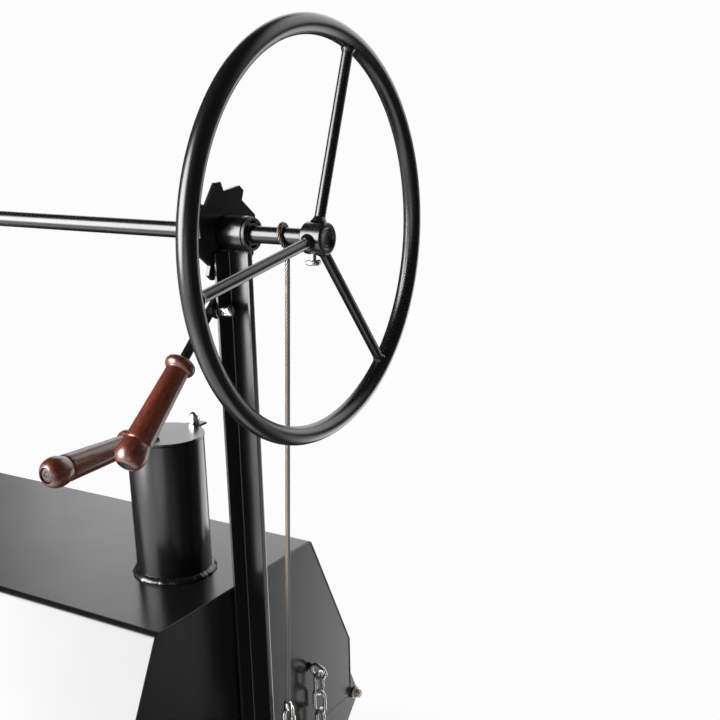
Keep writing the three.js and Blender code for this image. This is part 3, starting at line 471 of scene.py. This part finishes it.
def merged(*parts):
    verts, faces = [], []
    for v, f in parts:
        base = len(verts)
        verts += list(v)
        faces += [tuple(i + base for i in face) for face in f]
    return verts, faces


def hexagon(start, axis, flats, height, chamfer=0.7):
    """Hex prism with chamfered corners at both ends."""
    axis, u, v = basis(axis)
    start = Vector(start)
    verts, faces, rings = [], [], []
    n = 48
    for along, limit in ((0, flats / 2), (chamfer, None), (height - chamfer, None), (height, flats / 2)):
        ring = []
        for k in range(n):
            a = 2 * math.pi * k / n
            local = (a + math.pi / 6) % (math.pi / 3) - math.pi / 6
            r = flats / 2 / math.cos(local)
            if limit is not None:
                r = min(r, flats / 2 * 1.01)
            ring.append(len(verts))
            verts.append(start + axis * along + r * (math.cos(a) * u + math.sin(a) * v))
        rings.append(ring)
    for a, b in zip(rings, rings[1:]):
        for k in range(n):
            faces.append((a[k], a[(k + 1) % n], b[(k + 1) % n], b[k]))
    faces.append(tuple(reversed(rings[0])))
    faces.append(tuple(rings[-1]))
    return verts, faces


def plate(outline, x0, x1):
    """Flat plate between two X planes; the outline holds (y, z) points."""
    c = len(outline)
    faces = [tuple(range(c))[::-1], tuple(range(c, 2 * c))]
    faces += [(k, (k + 1) % c, c + (k + 1) % c, c + k) for k in range(c)]
    return [Vector((x, *q)) for x in (x0, x1) for q in outline], faces


def vf(lathed):
    """A lathe's vertices and faces, without its grain."""
    return lathed[0], lathed[1]


def lumps(scale, amount, seed=0.0):
    """Radius and height wobble for weld beads."""
    def wobble(r, along, a):
        p = Vector((math.cos(a) * scale, math.sin(a) * scale, along * 0.35 + seed))
        ripple = math.sin(a * scale * 2.1 + 2 * noise.noise(p))
        shift = amount * 0.5 * noise.noise(p * 1.7 + X * 9)
        return r + amount * (0.6 * noise.noise(p * 2) + 0.4 * ripple), shift
    return wobble


def direction(deg):
    a = math.radians(deg)
    return Vector((0, math.cos(a), math.sin(a)))


# Handwheel.
def build_wheel():
    centre = Vector((WHEEL_X, 0, SHAFT_Z))
    ring = [centre + WHEEL_R * direction(360 * k / 240) for k in range(240)]
    piece("wheel_rim_look", *tube(ring, 10.5, 28, closed=True), PAINT_ROUND, "wheel_rim")
    for i in range(3):
        d = direction(69.4 + 120 * i)
        inner, spoke_r = 17.5, 6
        length = WHEEL_R - 10.3 - inner
        spoke = lathe([(0, 0), (spoke_r, 0), (spoke_r, length), (0, length)], centre + d * inner, d, 32)
        piece(f"wheel_spoke_{i + 1}_look", *vf(spoke), PAINT_ROUND, f"wheel_spoke_{i + 1}")
        for tag, base, sign in (("hub", 16.4, 1), ("rim", WHEEL_R - 9.3, -1)):
            wide, tall = (3.4, 6.4) if tag == "hub" else (1.8, 4.6)
            fillet = [(1, 0), (0.92, 0.22), (0.56, 0.45), (0.26, 0.72), (0.06, 0.97), (-0.1, 1)]
            fillet = [(0, 0), *((spoke_r + wide * t, sign * tall * h) for t, h in fillet), (0, sign * tall)]
            bead = lathe(fillet, centre + d * base, d, 40, lumps(2.4, 0.45, i))
            piece(f"spoke_weld_{tag}_{i + 1}", *vf(bead), WELD, (), body="wheel", sharp=60)
    bore, outer, length, chamfer = 9.8, 17.3, 27, 1.4
    hub = rounded([(bore, 0), (outer - chamfer, 0), (outer, chamfer), (outer, length - chamfer),
                   (outer - chamfer, length), (11.6, length), (11.2, 25.4), (bore, 25.2), (bore, 0)], 0.5)
    piece("wheel_hub_look", *vf(lathe(hub, (WHEEL_X - 12, 0, SHAFT_Z), X, 72)), PAINT_ROUND, "wheel_hub")


def build_crossbar():
    left, right = -(ROPE_HOLE_X + 13), WHEEL_X + 13
    length = right - left
    bar = rounded([(0, 0), (BAR_R, 0), (BAR_R, length), (7.6, length), (7.3, length - 0.7),
                   (0, length - 0.9)], 0.6)
    piece("crossbar_look", *vf(lathe(bar, (left, 0, SHAFT_Z), X, 48)), PAINT_ROUND, "crossbar")


def build_thumb_screw():
    """Round head with a finely knurled edge, on a plain shank."""
    def knurl(r, along, a):
        return r - (0.25 * (0.5 + 0.5 * math.cos(a * 24)) if r > 5.5 else 0), 0

    screw = [(0, 0), (6.6, 0), (7.9, 0.7), (8.4, 1.5), (8.4, 4.3), (7.9, 5.1), (6.7, 5.7), (3.4, 5.8),
             (3.4, 18), (0, 18)]
    head = lathe(screw, (WHEEL_X - 5, 0, SHAFT_Z - 29), Z, 96, knurl)
    piece("thumb_screw_look", *vf(head), SCREW_STEEL, "thumb_screw")


# Wire rope: strands laid round a core.
def stranded(path, rope_r=ROPE_R, lay=29.0, strands=6, sides=10):
    """The grain's first value is each point's distance from the rope's axis, in thousandths of its radius;
    the rope material uses it to paint shade into the valleys between strands.
    """
    strand_r = rope_r / 3.0
    twist = RIGHT_HAND_LAY * 2 * math.pi / lay
    parts = [tube(path, rope_r * 0.42, 8)]
    grain = [(420, 0, 0)] * len(parts[0][0])
    for k in range(strands):
        a = 2 * math.pi * k / strands
        r = rope_r - strand_r
        strand = tube(path, strand_r, sides, twist=twist, offset=(r * math.cos(a), r * math.sin(a)))
        grain += [((v - path[i // sides]).length / rope_r * 1000, 0, 0) for i, v in enumerate(strand[0])]
        parts.append(strand)
    return *merged(*parts), grain


def evenly(points, step):
    """The same path with its points one step apart."""
    out = [Vector(points[0])]
    carry = 0.0
    for a, b in zip(points, points[1:]):
        a, b = Vector(a), Vector(b)
        length = (b - a).length
        if length < 1e-9:
            continue
        d = step - carry
        while d <= length:
            out.append(a + (b - a) * (d / length))
            d += step
        carry = length - (d - step)
    return out


def build_ropes():
    wrap_r = BAR_R + ROPE_R + 0.3
    wrapped_degrees = 320
    for side, tag in SIDES:
        top = (side * ROPE_X, wrap_r, SHAFT_Z - 1.2)
        bottom = (side * ROPE_END_X, ROPE_END_Y, ROPE_END_Z)
        verts, faces, grain = stranded(evenly([top, bottom], 1.5), ROPE_R + 0.25)
        hang = piece(f"rope_{tag}_look", verts, faces, ROPE, f"rope_{tag}", sharp=80, grain=grain)
        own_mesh(hang)
        pts = []
        for deg in range(0, wrapped_degrees + 1, 20):
            a = math.radians(deg)
            x = side * (ROPE_X + 17 * (deg / wrapped_degrees) ** 1.4)
            pts.append((x, wrap_r * math.cos(a), SHAFT_Z + wrap_r * math.sin(a)))
        pts += [(side * ROPE_HOLE_X, y, SHAFT_Z) for y in (15, 9, 2, -4, -8.6)]
        verts, faces, grain = stranded(evenly(smooth_curve(pts, 8), 1.2))
        piece(f"rope_wrap_{tag}_look", verts, faces, ROPE_WRAP, f"rope_wrap_{tag}", sharp=80, grain=grain)


# Snap rings on the rope ends.
def stretched_ring(bend, straight, centre, facing, count=20):
    """Centre line of a long link that faces along X or along Y."""
    centre = Vector(centre)
    side = Y if facing == "x" else X
    out = []
    for half, sign in ((0, 1), (1, -1)):
        for k in range(count + 1):
            a = math.pi * k / count + half * math.pi
            out.append(centre + side * bend * math.cos(a) + Z * (bend * math.sin(a) + sign * straight / 2))
    return out


def build_rings():
    bend, straight, wire_r = 9, 30, 2.5
    for side, tag in SIDES:
        end = Vector((side * ROPE_END_X, ROPE_END_Y, ROPE_END_Z))
        centre = end - Z * (0.3 + wire_r + bend + straight / 2)
        ring = tube(stretched_ring(bend, straight, centre, "x"), wire_r, 14, closed=True)
        sleeve = rounded([(0, 0), (4.1, 0), (4.1, 12), (0, 12)], 0.6)
        sleeve = vf(lathe(sleeve, centre + Y * bend - Z * 6, Z, 24))
        ferrule = [(0, -8), (3.4, -7.6), (4.9, -5.6), (5.3, -3), (5.2, 0), (5.0, 2.4), (4.2, 4.2), (3.2, 4.8),
                   (0, 5)]
        clamp = vf(lathe(ferrule, end, Z, 28))
        piece(f"snap_ring_{tag}_look", *merged(ring, sleeve, clamp), ZINC, f"snap_ring_{tag}", sharp=50)


def build_chain():
    bend, wire_r, straight = 8.75, 2.5, 17.5
    x, y, z = HALF_HOOD + 14, 135, SHAFT_Z - 620
    tilt, eye_straight = 0.42, 6
    c, t = math.cos(tilt), math.sin(tilt)
    eye = [Vector((x - q.x * t + q.z * c, y, z - q.x * c - q.z * t))
           for q in stretched_ring(bend, eye_straight, (0, 0, 0), "y")]
    reach = bend + eye_straight / 2
    head = rounded([(0, 0), (5.2, 0), (5.2, 3), (0, 3)], 1.0)
    head = lathe(head, (HALF_HOOD - 0.9, y, z + reach * t), X, 28)
    piece("chain_bolt", *vf(head), PAINT, (), body="hood")
    shank = tube([(HALF_HOOD + 0.1, y, z + reach * t), (x - reach * c + 1, y, z + reach * t)], 3.0, 14)
    eye = merged(tube(eye, wire_r, 12, closed=True), shank)
    piece("chain_eye_look", *eye, CHAIN_ZINC, "chain_eye", sharp=50)
    pitch = straight + 2 * (bend - wire_r) - 0.6
    first = z - eye_straight / 2 * t - bend * math.cos(0.9) + 2 * wire_r + 0.6 - bend - straight / 2
    weld = rounded([(0, 0), (2.95, 0), (2.95, 3.4), (0, 3.4)], 0.9)
    for i in range(4):
        centre = Vector((x, y, first - i * pitch))
        facing, sideways = ("x", Y) if i % 2 == 0 else ("y", X)
        ring = stretched_ring(bend, straight, centre, facing)
        seam = vf(lathe(weld, centre + sideways * bend - Z * 1.7, Z, 16))
        piece(f"chain_link_{i + 1}_look", *merged(tube(ring, wire_r, 12, closed=True), seam), CHAIN_ZINC,
              f"chain_link_{i + 1}", sharp=50)


# Fixings.
def acorn(start, axis):
    """Domed nut: a hexagon with a round cap."""
    dome = [(0, 6.2), (5.9, 6.4), (6.2, 6.9), (6.15, 8.4), (5.75, 10.1), (4.9, 11.8), (3.5, 13.3),
            (1.8, 14.3), (0, 14.7)]
    return merged(hexagon(start, axis, 12.7, 6.5, 0.8), vf(lathe(dome, start, axis, 40)))


def washer(start, axis, outer, thick):
    return vf(lathe(rounded([(0, 0), (outer, 0), (outer, thick), (0, thick)], 0.25), start, axis, 40))


def build_fixings():
    across_flats, head_height, shank_r = 12.6, 5.3, 4
    piece("pawl_nut_look", *acorn((POST_X0 + 3.3, PAWL_Y, PAWL_Z), X), ZINC, "pawl_nut", sharp=28)
    boss = Vector((HALF_HOOD - 5, PAWL_Y, PAWL_Z))
    bolt = merged(
        hexagon(boss - X * 7.3, X, across_flats, head_height),
        washer(boss - X * 2, X, 9, 1.6),
        washer(boss + X * 5.3, X, 9, 1.4),
        tube([boss - X * 2, boss + X * 15], shank_r, 20),
    )
    piece("pawl_bolt_look", *bolt, ZINC, "pawl_bolt", sharp=28)
    for side, tag in SIDES:
        outward = X * side
        end_wall = Vector((side * HALF_HOOD, HINGE_Y, HINGE_Z))
        nut = hexagon(end_wall + outward * 2.2, outward, across_flats, 6.5)
        piece(f"hinge_nut_{tag}_look", *nut, HINGE_STEEL, f"hinge_nut_{tag}", sharp=28)
        bolt = merged(
            hexagon(end_wall - outward * 16.3, outward, across_flats, head_height),
            tube([end_wall - outward * 12, end_wall + outward * 10.8], shank_r, 20),
            washer(end_wall + outward * 0.3, outward, 9.5, 1.6),
        )
        piece(f"hinge_bolt_{tag}_look", *bolt, HINGE_STEEL, f"hinge_bolt_{tag}", sharp=28)
    pivot = (CHIMNEY[0] + 3, CHIMNEY[1] + 53)
    piece("cap_nut_look", *acorn((*pivot, CAP_TOP_Z + 0.3), Z), ZINC, "cap_nut", sharp=28)


# Turned wooden grips.
GRIP_LENGTH = 138.0
GRIP = [
    (4.5, 0), (10.5, 0), (13.8, 0.6), (15.9, 2.2), (17, 4.6), (17.3, 7), (16.9, 9.4), (15.7, 11.6),
    (14.0, 13.2), (13.0, 13.9), (12.8, 14.6), (12.9, 20), (13.3, 30), (13.6, 45), (14.2, 60), (14.6, 75),
    (15.1, 90), (15.5, 102), (15.7, 106.6), (15.6, 107.6), (15.0, 108.7), (14.9, 109.6), (15.4, 110.8),
    (16.2, 113.6), (17.2, 117.6), (17.7, 122), (17.4, 126), (16.5, 130), (14.8, 133.6), (12.6, 136),
    (10.6, 137.5), (9.6, GRIP_LENGTH), (9.2, 137.6), (9.2, 133), (4.5, 133), (4.5, 0),
]
NUT_START = GRIP_LENGTH - 4.7


def end_nut(start, axis):
    """Round nut in the end of a grip, with the rod's end showing in it."""
    nut = [(0, 0), (8.8, 0), (8.8, 2.4), (7.4, 3.4), (3.9, 3.6), (3.6, 3.0), (2.6, 3.0), (2.2, 3.3), (0, 3.4)]
    return vf(lathe(rounded(nut, 0.4), start, axis, 48))


def build_grip(name, start, axis):
    verts, faces, grain = lathe(GRIP, start, axis, 72)
    piece(name + "_look", verts, faces, WOOD, name, sharp=40, grain=grain)


def build_pawl():
    down = Vector((0, -0.749, -0.6626)).normalized()
    start = Vector((HALF_HOOD - 2.5, -87.2, SHAFT_Z - 130.2))
    build_grip("pawl_grip", start, down)
    piece("pawl_grip_nut_look", *end_nut(start + down * NUT_START, down), NUT_STEEL, "pawl_grip_nut")
    refined("pawl_lever", 0.6)


def build_cap():
    rod_z = CAP_TOP_Z + 4.3
    grip_y = CHIMNEY[1] - 58
    forward = Vector((0, -1, 0))
    start = Vector((CHIMNEY[0], grip_y, rod_z))
    build_grip("cap_grip", start, forward)
    piece("cap_grip_nut_look", *end_nut(start + forward * NUT_START, forward), NUT_STEEL, "cap_grip_nut")
    rod_start = CHIMNEY[1] - 14
    length = rod_start - grip_y + GRIP_LENGTH - 5.3
    rod = rounded([(0, 0), (4, 0), (4, length), (0, length)], 0.8)
    rod = lathe(rod, (CHIMNEY[0], rod_start, rod_z), forward, 28)
    piece("cap_rod_look", *vf(rod), PAINT_ROUND, "cap_rod")
    refined("cap_disc", 0.5)
    refined("cap_lug", 0.5)
    z0 = HOOD_TOP_Z + 0.3
    height = CAP_TOP_Z - 3.9 - z0
    wall = rounded([(45, 0), (47.5, 0), (47.5, height), (45, height), (45, 0)], 0.4)
    piece("chimney_look", *vf(lathe(wall, (*CHIMNEY, z0), Z, 128)), PAINT, "chimney")
    bead = [(47.3, 0), (53.2, 0), (53.4, 1.0), (52.6, 2.6), (51.2, 4.2), (49.6, 5.6), (48.1, 6.3),
            (47.3, 6.4), (47.3, 0)]
    bead = lathe(bead, (*CHIMNEY, z0), Z, 260, lumps(9.0, 0.85))
    piece("chimney_weld_look", *vf(bead), WELD, "chimney_weld", sharp=80)


def build_bearings():
    for side, tag in SIDES:
        axis = X * side
        sleeve = rounded([(17, 0), (19.5, 0), (19.5, 31), (17, 31), (17, 0)], 0.5)
        sleeve = lathe(sleeve, (side * POST_X0, 0, SHAFT_Z), axis, 72)
        piece(f"sleeve_{tag}_look", *vf(sleeve), PAINT_ROUND, f"sleeve_{tag}")
        refined(f"bush_outer_{tag}", 0.35)
        inner = rounded([(9.8, 0), (16.7, 0), (16.7, 14.2), (9.8, 14.2), (9.8, 0)], 0.4)
        inner = lathe(inner, (side * (POST_X0 + 1), 0, SHAFT_Z), axis, 48)
        piece(f"bush_inner_{tag}_look", *vf(inner), PLASTIC, f"bush_inner_{tag}")
        # Weld between the sleeve and its post.
        weld_y = -2.5
        bead = [Vector((side * (POST_X0 + 2 + t), weld_y,
                        SHAFT_Z - 19.6 + 0.5 * noise.noise(Vector((t * 0.4, weld_y, 0)))))
                for t in np.linspace(0, 28, 40)]
        bead = tube(bead, 2.2, 12, radius_at=lambda s: 2.1 + 0.5 * noise.noise(Vector((s * 14, side, 3))))
        piece(f"sleeve_weld_{tag}", *bead, WELD, (), body="stand", sharp=80)
    weld_r = BAR_R + 1.1
    ring = [Vector((HALF_HOOD, weld_r * math.cos(a), SHAFT_Z + weld_r * math.sin(a)))
            for a in np.linspace(0, 2 * math.pi, 72, endpoint=False)]
    piece("ratchet_weld", *tube(ring, 1.9, 12, closed=True), WELD, (), body="wheel", sharp=80)
    refined("ratchet_plate", 0.45)


def build_front_handle():
    bar_z, bar_y = HOOD_FOOT_Z + 44, HOOD_FRONT_Y - 42
    front = HOOD_FRONT_Y - 0.3
    half, bend_r, bend_steps = 105, 14, 8
    pts = []
    for sign in (-1, 1):
        leg = [(sign * half, front, bar_z), (sign * half, bar_y + bend_r, bar_z)]
        for k in range(1, bend_steps + 1):
            a = math.pi / 2 * k / bend_steps
            x, y = half - bend_r * (1 - math.cos(a)), bar_y + bend_r * (1 - math.sin(a))
            leg.append((sign * x, y, bar_z))
        pts += leg if sign < 0 else leg[::-1]
    piece("hood_handle_bar_look", *tube(pts, 5, 20), PAINT_ROUND, "hood_handle_bar")
    length = 150
    bore = 5.5
    bead = [(bore, 0), (9.5, 0), (12.6, 0.5), (14.8, 2), (15.9, 4.2), (15.8, 6.8), (14.6, 9.2), (13, 10.8),
            (12.6, 12)]
    middle = [(13.2, 26), (14.2, 46), (15, 62), (15.3, 75), (15, 88), (14.2, 104), (13.2, 124)]
    profile = bead + middle + [(r, length - h) for r, h in bead[::-1]] + [(bore, 0)]
    verts, faces, grain = lathe(profile, (-length / 2, bar_y, bar_z), X, 64)
    piece("hood_handle_grip_look", verts, faces, WOOD, "hood_handle_grip", sharp=40, grain=grain)


# Hood: one bent sheet with soft bends, eased edges and the two hinge ears.
def bent_section(points, thick, bend, steps=10):
    """Outer and inner line of a bent sheet; bend is its outside radius."""
    p = [Vector((0, *q)) for q in points]
    along = [(b - a).normalized() for a, b in zip(p, p[1:])]
    turn = 1 if along[0].cross(along[1]).x > 0 else -1
    inward = [turn * Vector((0, -d.z, d.y)) for d in along]
    outer, inner = [p[0]], [p[0] + inward[0] * thick]
    for i in range(1, len(p) - 1):
        n0, n1 = inward[i - 1], inward[i]
        centre = p[i] + (n0 + n1) * (bend / (1 + n0.dot(n1)))
        for k in range(steps + 1):
            n = n0.slerp(n1, k / steps)
            outer.append(centre - n * bend)
            inner.append(centre - n * (bend - thick))
    outer.append(p[-1])
    inner.append(p[-1] + inward[-1] * thick)
    return outer, inner


def build_hood():
    outer, inner = bent_section(
        [(HOOD_FRONT_Y, HOOD_FOOT_Z), (HOOD_FRONT_Y, HOOD_KNEE_Z), (-169.5, HOOD_TOP_Z), (147.5, HOOD_TOP_Z),
         (HOOD_BACK_Y, HOOD_KNEE_Z), (HOOD_BACK_Y, HOOD_FOOT_Z)], 2, 12)
    loop = outer + inner[::-1]
    n = len(loop)
    verts = [Vector((x, q.y, q.z)) for x in (-HALF_HOOD, HALF_HOOD) for q in loop]
    faces = [(k, (k + 1) % n, n + (k + 1) % n, n + k) for k in range(n)]
    for base in (0, n):
        for k in range(len(outer) - 1):
            faces.append(tuple(base + j for j in (k, k + 1, n - 2 - k, n - 1 - k)))
    ear_r, ear_y = 8.6, HOOD_BACK_Y - 1
    ear = [(ear_y, HINGE_Z + 42)]
    ear += [(HINGE_Y + ear_r * math.cos(a), HINGE_Z + ear_r * math.sin(a))
            for a in np.linspace(0.4, -1.9, 20)]
    ear += [(ear_y, HINGE_Z - 2.5)]
    ears = [plate(ear, x, x + 2) for x in (-HALF_HOOD + 0.3, HALF_HOOD - 2.3)]
    shell = merged((verts, faces), *ears)
    piece("hood_shell_look", *shell, PAINT, "hood_shell", sharp=32, bevel=0.7, flat=True)
    # The end plates reach a little below the sheet, to close the gap over the firebox.
    lowered = [(q.y, max(q.z, HOOD_FOOT_Z) - (0.25 if q.z <= HOOD_FOOT_Z else 0)) for q in inner]
    for side, tag in SIDES:
        end = plate(lowered, side * (HALF_HOOD - 3.0), side * (HALF_HOOD - 1.0))
        piece(f"hood_end_{tag}_look", *end, PAINT, f"hood_end_{tag}", sharp=32, flat=True)


build_wheel()
build_hood()
build_crossbar()
build_thumb_screw()
build_ropes()
build_rings()
build_chain()
build_fixings()
build_pawl()
build_cap()
build_bearings()
build_front_handle()
for node_name, edge in (
    ("firebox_shell", 0.0), ("post_right", 0.35), ("post_left", 0.35),
    ("leg_frame_right", 0.4), ("leg_frame_left", 0.4), ("lower_shelf", 0.0),
    ("lift_arm_right", 0.0), ("lift_arm_left", 0.0), ("cooking_grate", 0.6), ("charcoal_grate", 0.6),
):
    refined(node_name, edge)
for end_wall in ("firebox_end_right", "firebox_end_left"):
    refined(end_wall, 0.25, outer_x=HALF_HOOD - 0.6)


# Floor, backdrop and soft lights.
def emission(name, color, strength):
    m = bpy.data.materials.new(name)
    m.use_nodes = True
    t = m.node_tree
    t.nodes.clear()
    e = t.nodes.new("ShaderNodeEmission")
    e.inputs["Color"].default_value = (*color, 1)
    e.inputs["Strength"].default_value = strength
    out = t.nodes.new("ShaderNodeOutputMaterial")
    t.links.new(e.outputs[0], out.inputs[0])
    return m


def stage_mesh(name, bm, material):
    mesh = bpy.data.meshes.new(name)
    bm.to_mesh(mesh)
    bm.free()
    mesh.shade_smooth()
    mesh.materials.append(material)
    o = bpy.data.objects.new(name, mesh)
    bpy.context.scene.collection.objects.link(o)
    return o


# Soft cards round the object that only reflections see: direction, full and fading angle, radiance.
CARDS = [
    ((-0.559, -0.769, 0.309), 18, 31, 19.0),
    ((-0.435, -0.819, -0.375), 10, 45, 2.0),
    ((-0.925, -0.163, -0.342), 10, 40, 0.5),
    ((0.487, -0.810, -0.326), 10, 40, 0.35),
    ((0.275, -0.960, -0.052), 6, 22, 2.0),
    ((0.193, 0.907, -0.375), 14, 25, 3.0),
    ((-0.449, 0.778, 0.438), 14, 24, 1.9),
    ((0.268, 0.824, 0.500), 15, 32, 2.4),
    ((-0.100, -0.350, -0.930), 25, 50, 1.8),
]


def reflection_cards():
    n = Nodes("reflection_cards")
    n.tree.nodes.remove(n.bsdf)
    ray = n.add("ShaderNodeVectorMath", operation="NORMALIZE")
    n.link(n.add("ShaderNodeTexCoord").outputs["Object"], ray.inputs[0])
    total = None
    for toward, full, fade, radiance in CARDS:
        near = n.add("ShaderNodeVectorMath", operation="DOT_PRODUCT")
        near.inputs[1].default_value = Vector(toward).normalized()
        n.link(ray.outputs["Vector"], near.inputs[0])
        soft = n.add("ShaderNodeMapRange", interpolation_type="SMOOTHSTEP")
        soft.inputs["From Min"].default_value = math.cos(math.radians(fade))
        soft.inputs["From Max"].default_value = math.cos(math.radians(full))
        soft.inputs["To Max"].default_value = radiance
        n.link(near.outputs["Value"], soft.inputs["Value"])
        add = n.add("ShaderNodeMath", operation="ADD")
        n.link(soft.outputs["Result"], add.inputs[0])
        if total is None:
            add.inputs[1].default_value = 0.05
        else:
            n.link(total, add.inputs[1])
        total = add.outputs[0]
    glow = n.add("ShaderNodeEmission")
    n.link(total, glow.inputs["Strength"])
    n.link(glow.outputs[0], n.tree.nodes["Material Output"].inputs[0])
    n.material.cycles.emission_sampling = "NONE"
    return n.material


def build_stage():
    bm = bmesh.new()
    bmesh.ops.create_uvsphere(bm, u_segments=64, v_segments=32, radius=30)
    dome = stage_mesh("backdrop", bm, emission("backdrop", (0.975, 0.975, 0.98), 1.0))
    dome.visible_glossy = dome.visible_diffuse = dome.visible_shadow = dome.visible_transmission = False
    bm = bmesh.new()
    bmesh.ops.create_circle(bm, cap_ends=True, segments=96, radius=29)
    n = Nodes("floor")
    co = n.add("ShaderNodeTexCoord").outputs["Object"]
    length = n.add("ShaderNodeVectorMath", operation="LENGTH")
    n.link(co, length.inputs[0])
    far = n.add("ShaderNodeMapRange")
    far.inputs["From Min"].default_value, far.inputs["From Max"].default_value = 0.6, 1.6
    n.link(length.outputs["Value"], far.inputs["Value"])
    n.set(Roughness=0.7)
    n.bsdf.inputs["Base Color"].default_value = (0.8, 0.8, 0.8, 1)
    glow = n.add("ShaderNodeEmission")
    glow.inputs["Color"].default_value = (0.975, 0.975, 0.98, 1)
    mix = n.add("ShaderNodeMixShader")
    n.link(far.outputs["Result"], mix.inputs[0])
    n.link(n.bsdf.outputs[0], mix.inputs[1])
    n.link(glow.outputs[0], mix.inputs[2])
    n.link(mix.outputs[0], n.tree.nodes["Material Output"].inputs[0])
    stage_mesh("floor", bm, n.material).visible_glossy = False

    bm = bmesh.new()
    bmesh.ops.create_uvsphere(bm, u_segments=64, v_segments=32, radius=25)
    cards = stage_mesh("reflection_cards", bm, reflection_cards())
    cards.visible_camera = cards.visible_diffuse = cards.visible_shadow = cards.visible_transmission = False

    world = bpy.data.worlds.new("studio")
    world.use_nodes = True
    world.node_tree.nodes["Background"].inputs["Color"].default_value = (0.9, 0.92, 1.0, 1)
    world.node_tree.nodes["Background"].inputs["Strength"].default_value = 0.08
    bpy.context.scene.world = world

    for name, place, size, radiance, color in (
        ("key", (-2.1, -2.6, 1.85), (2.4, 2.2), 22.0, (1, 0.985, 0.965)),
        ("back_wall", (-1.6, 3.6, 1.9), (5.0, 2.6), 1.8, (1, 1, 1)),
        ("overhead", (0.2, -0.2, 3.6), (2.2, 0.8), 1.6, (0.95, 0.97, 1)),
    ):
        light = bpy.data.lights.new(name, "AREA")
        light.shape, light.size, light.size_y = "RECTANGLE", *size
        light.energy = radiance * math.pi * size[0] * size[1]
        light.color = color
        o = bpy.data.objects.new(name, light)
        o.location = place
        o.rotation_mode = "QUATERNION"
        o.rotation_quaternion = (Vector(place) - Vector((0.2, 0, 1.2))).to_track_quat("Z", "Y")
        o.visible_camera = o.visible_glossy = False
        bpy.context.scene.collection.objects.link(o)


build_stage()

bpy.context.view_layer.update()
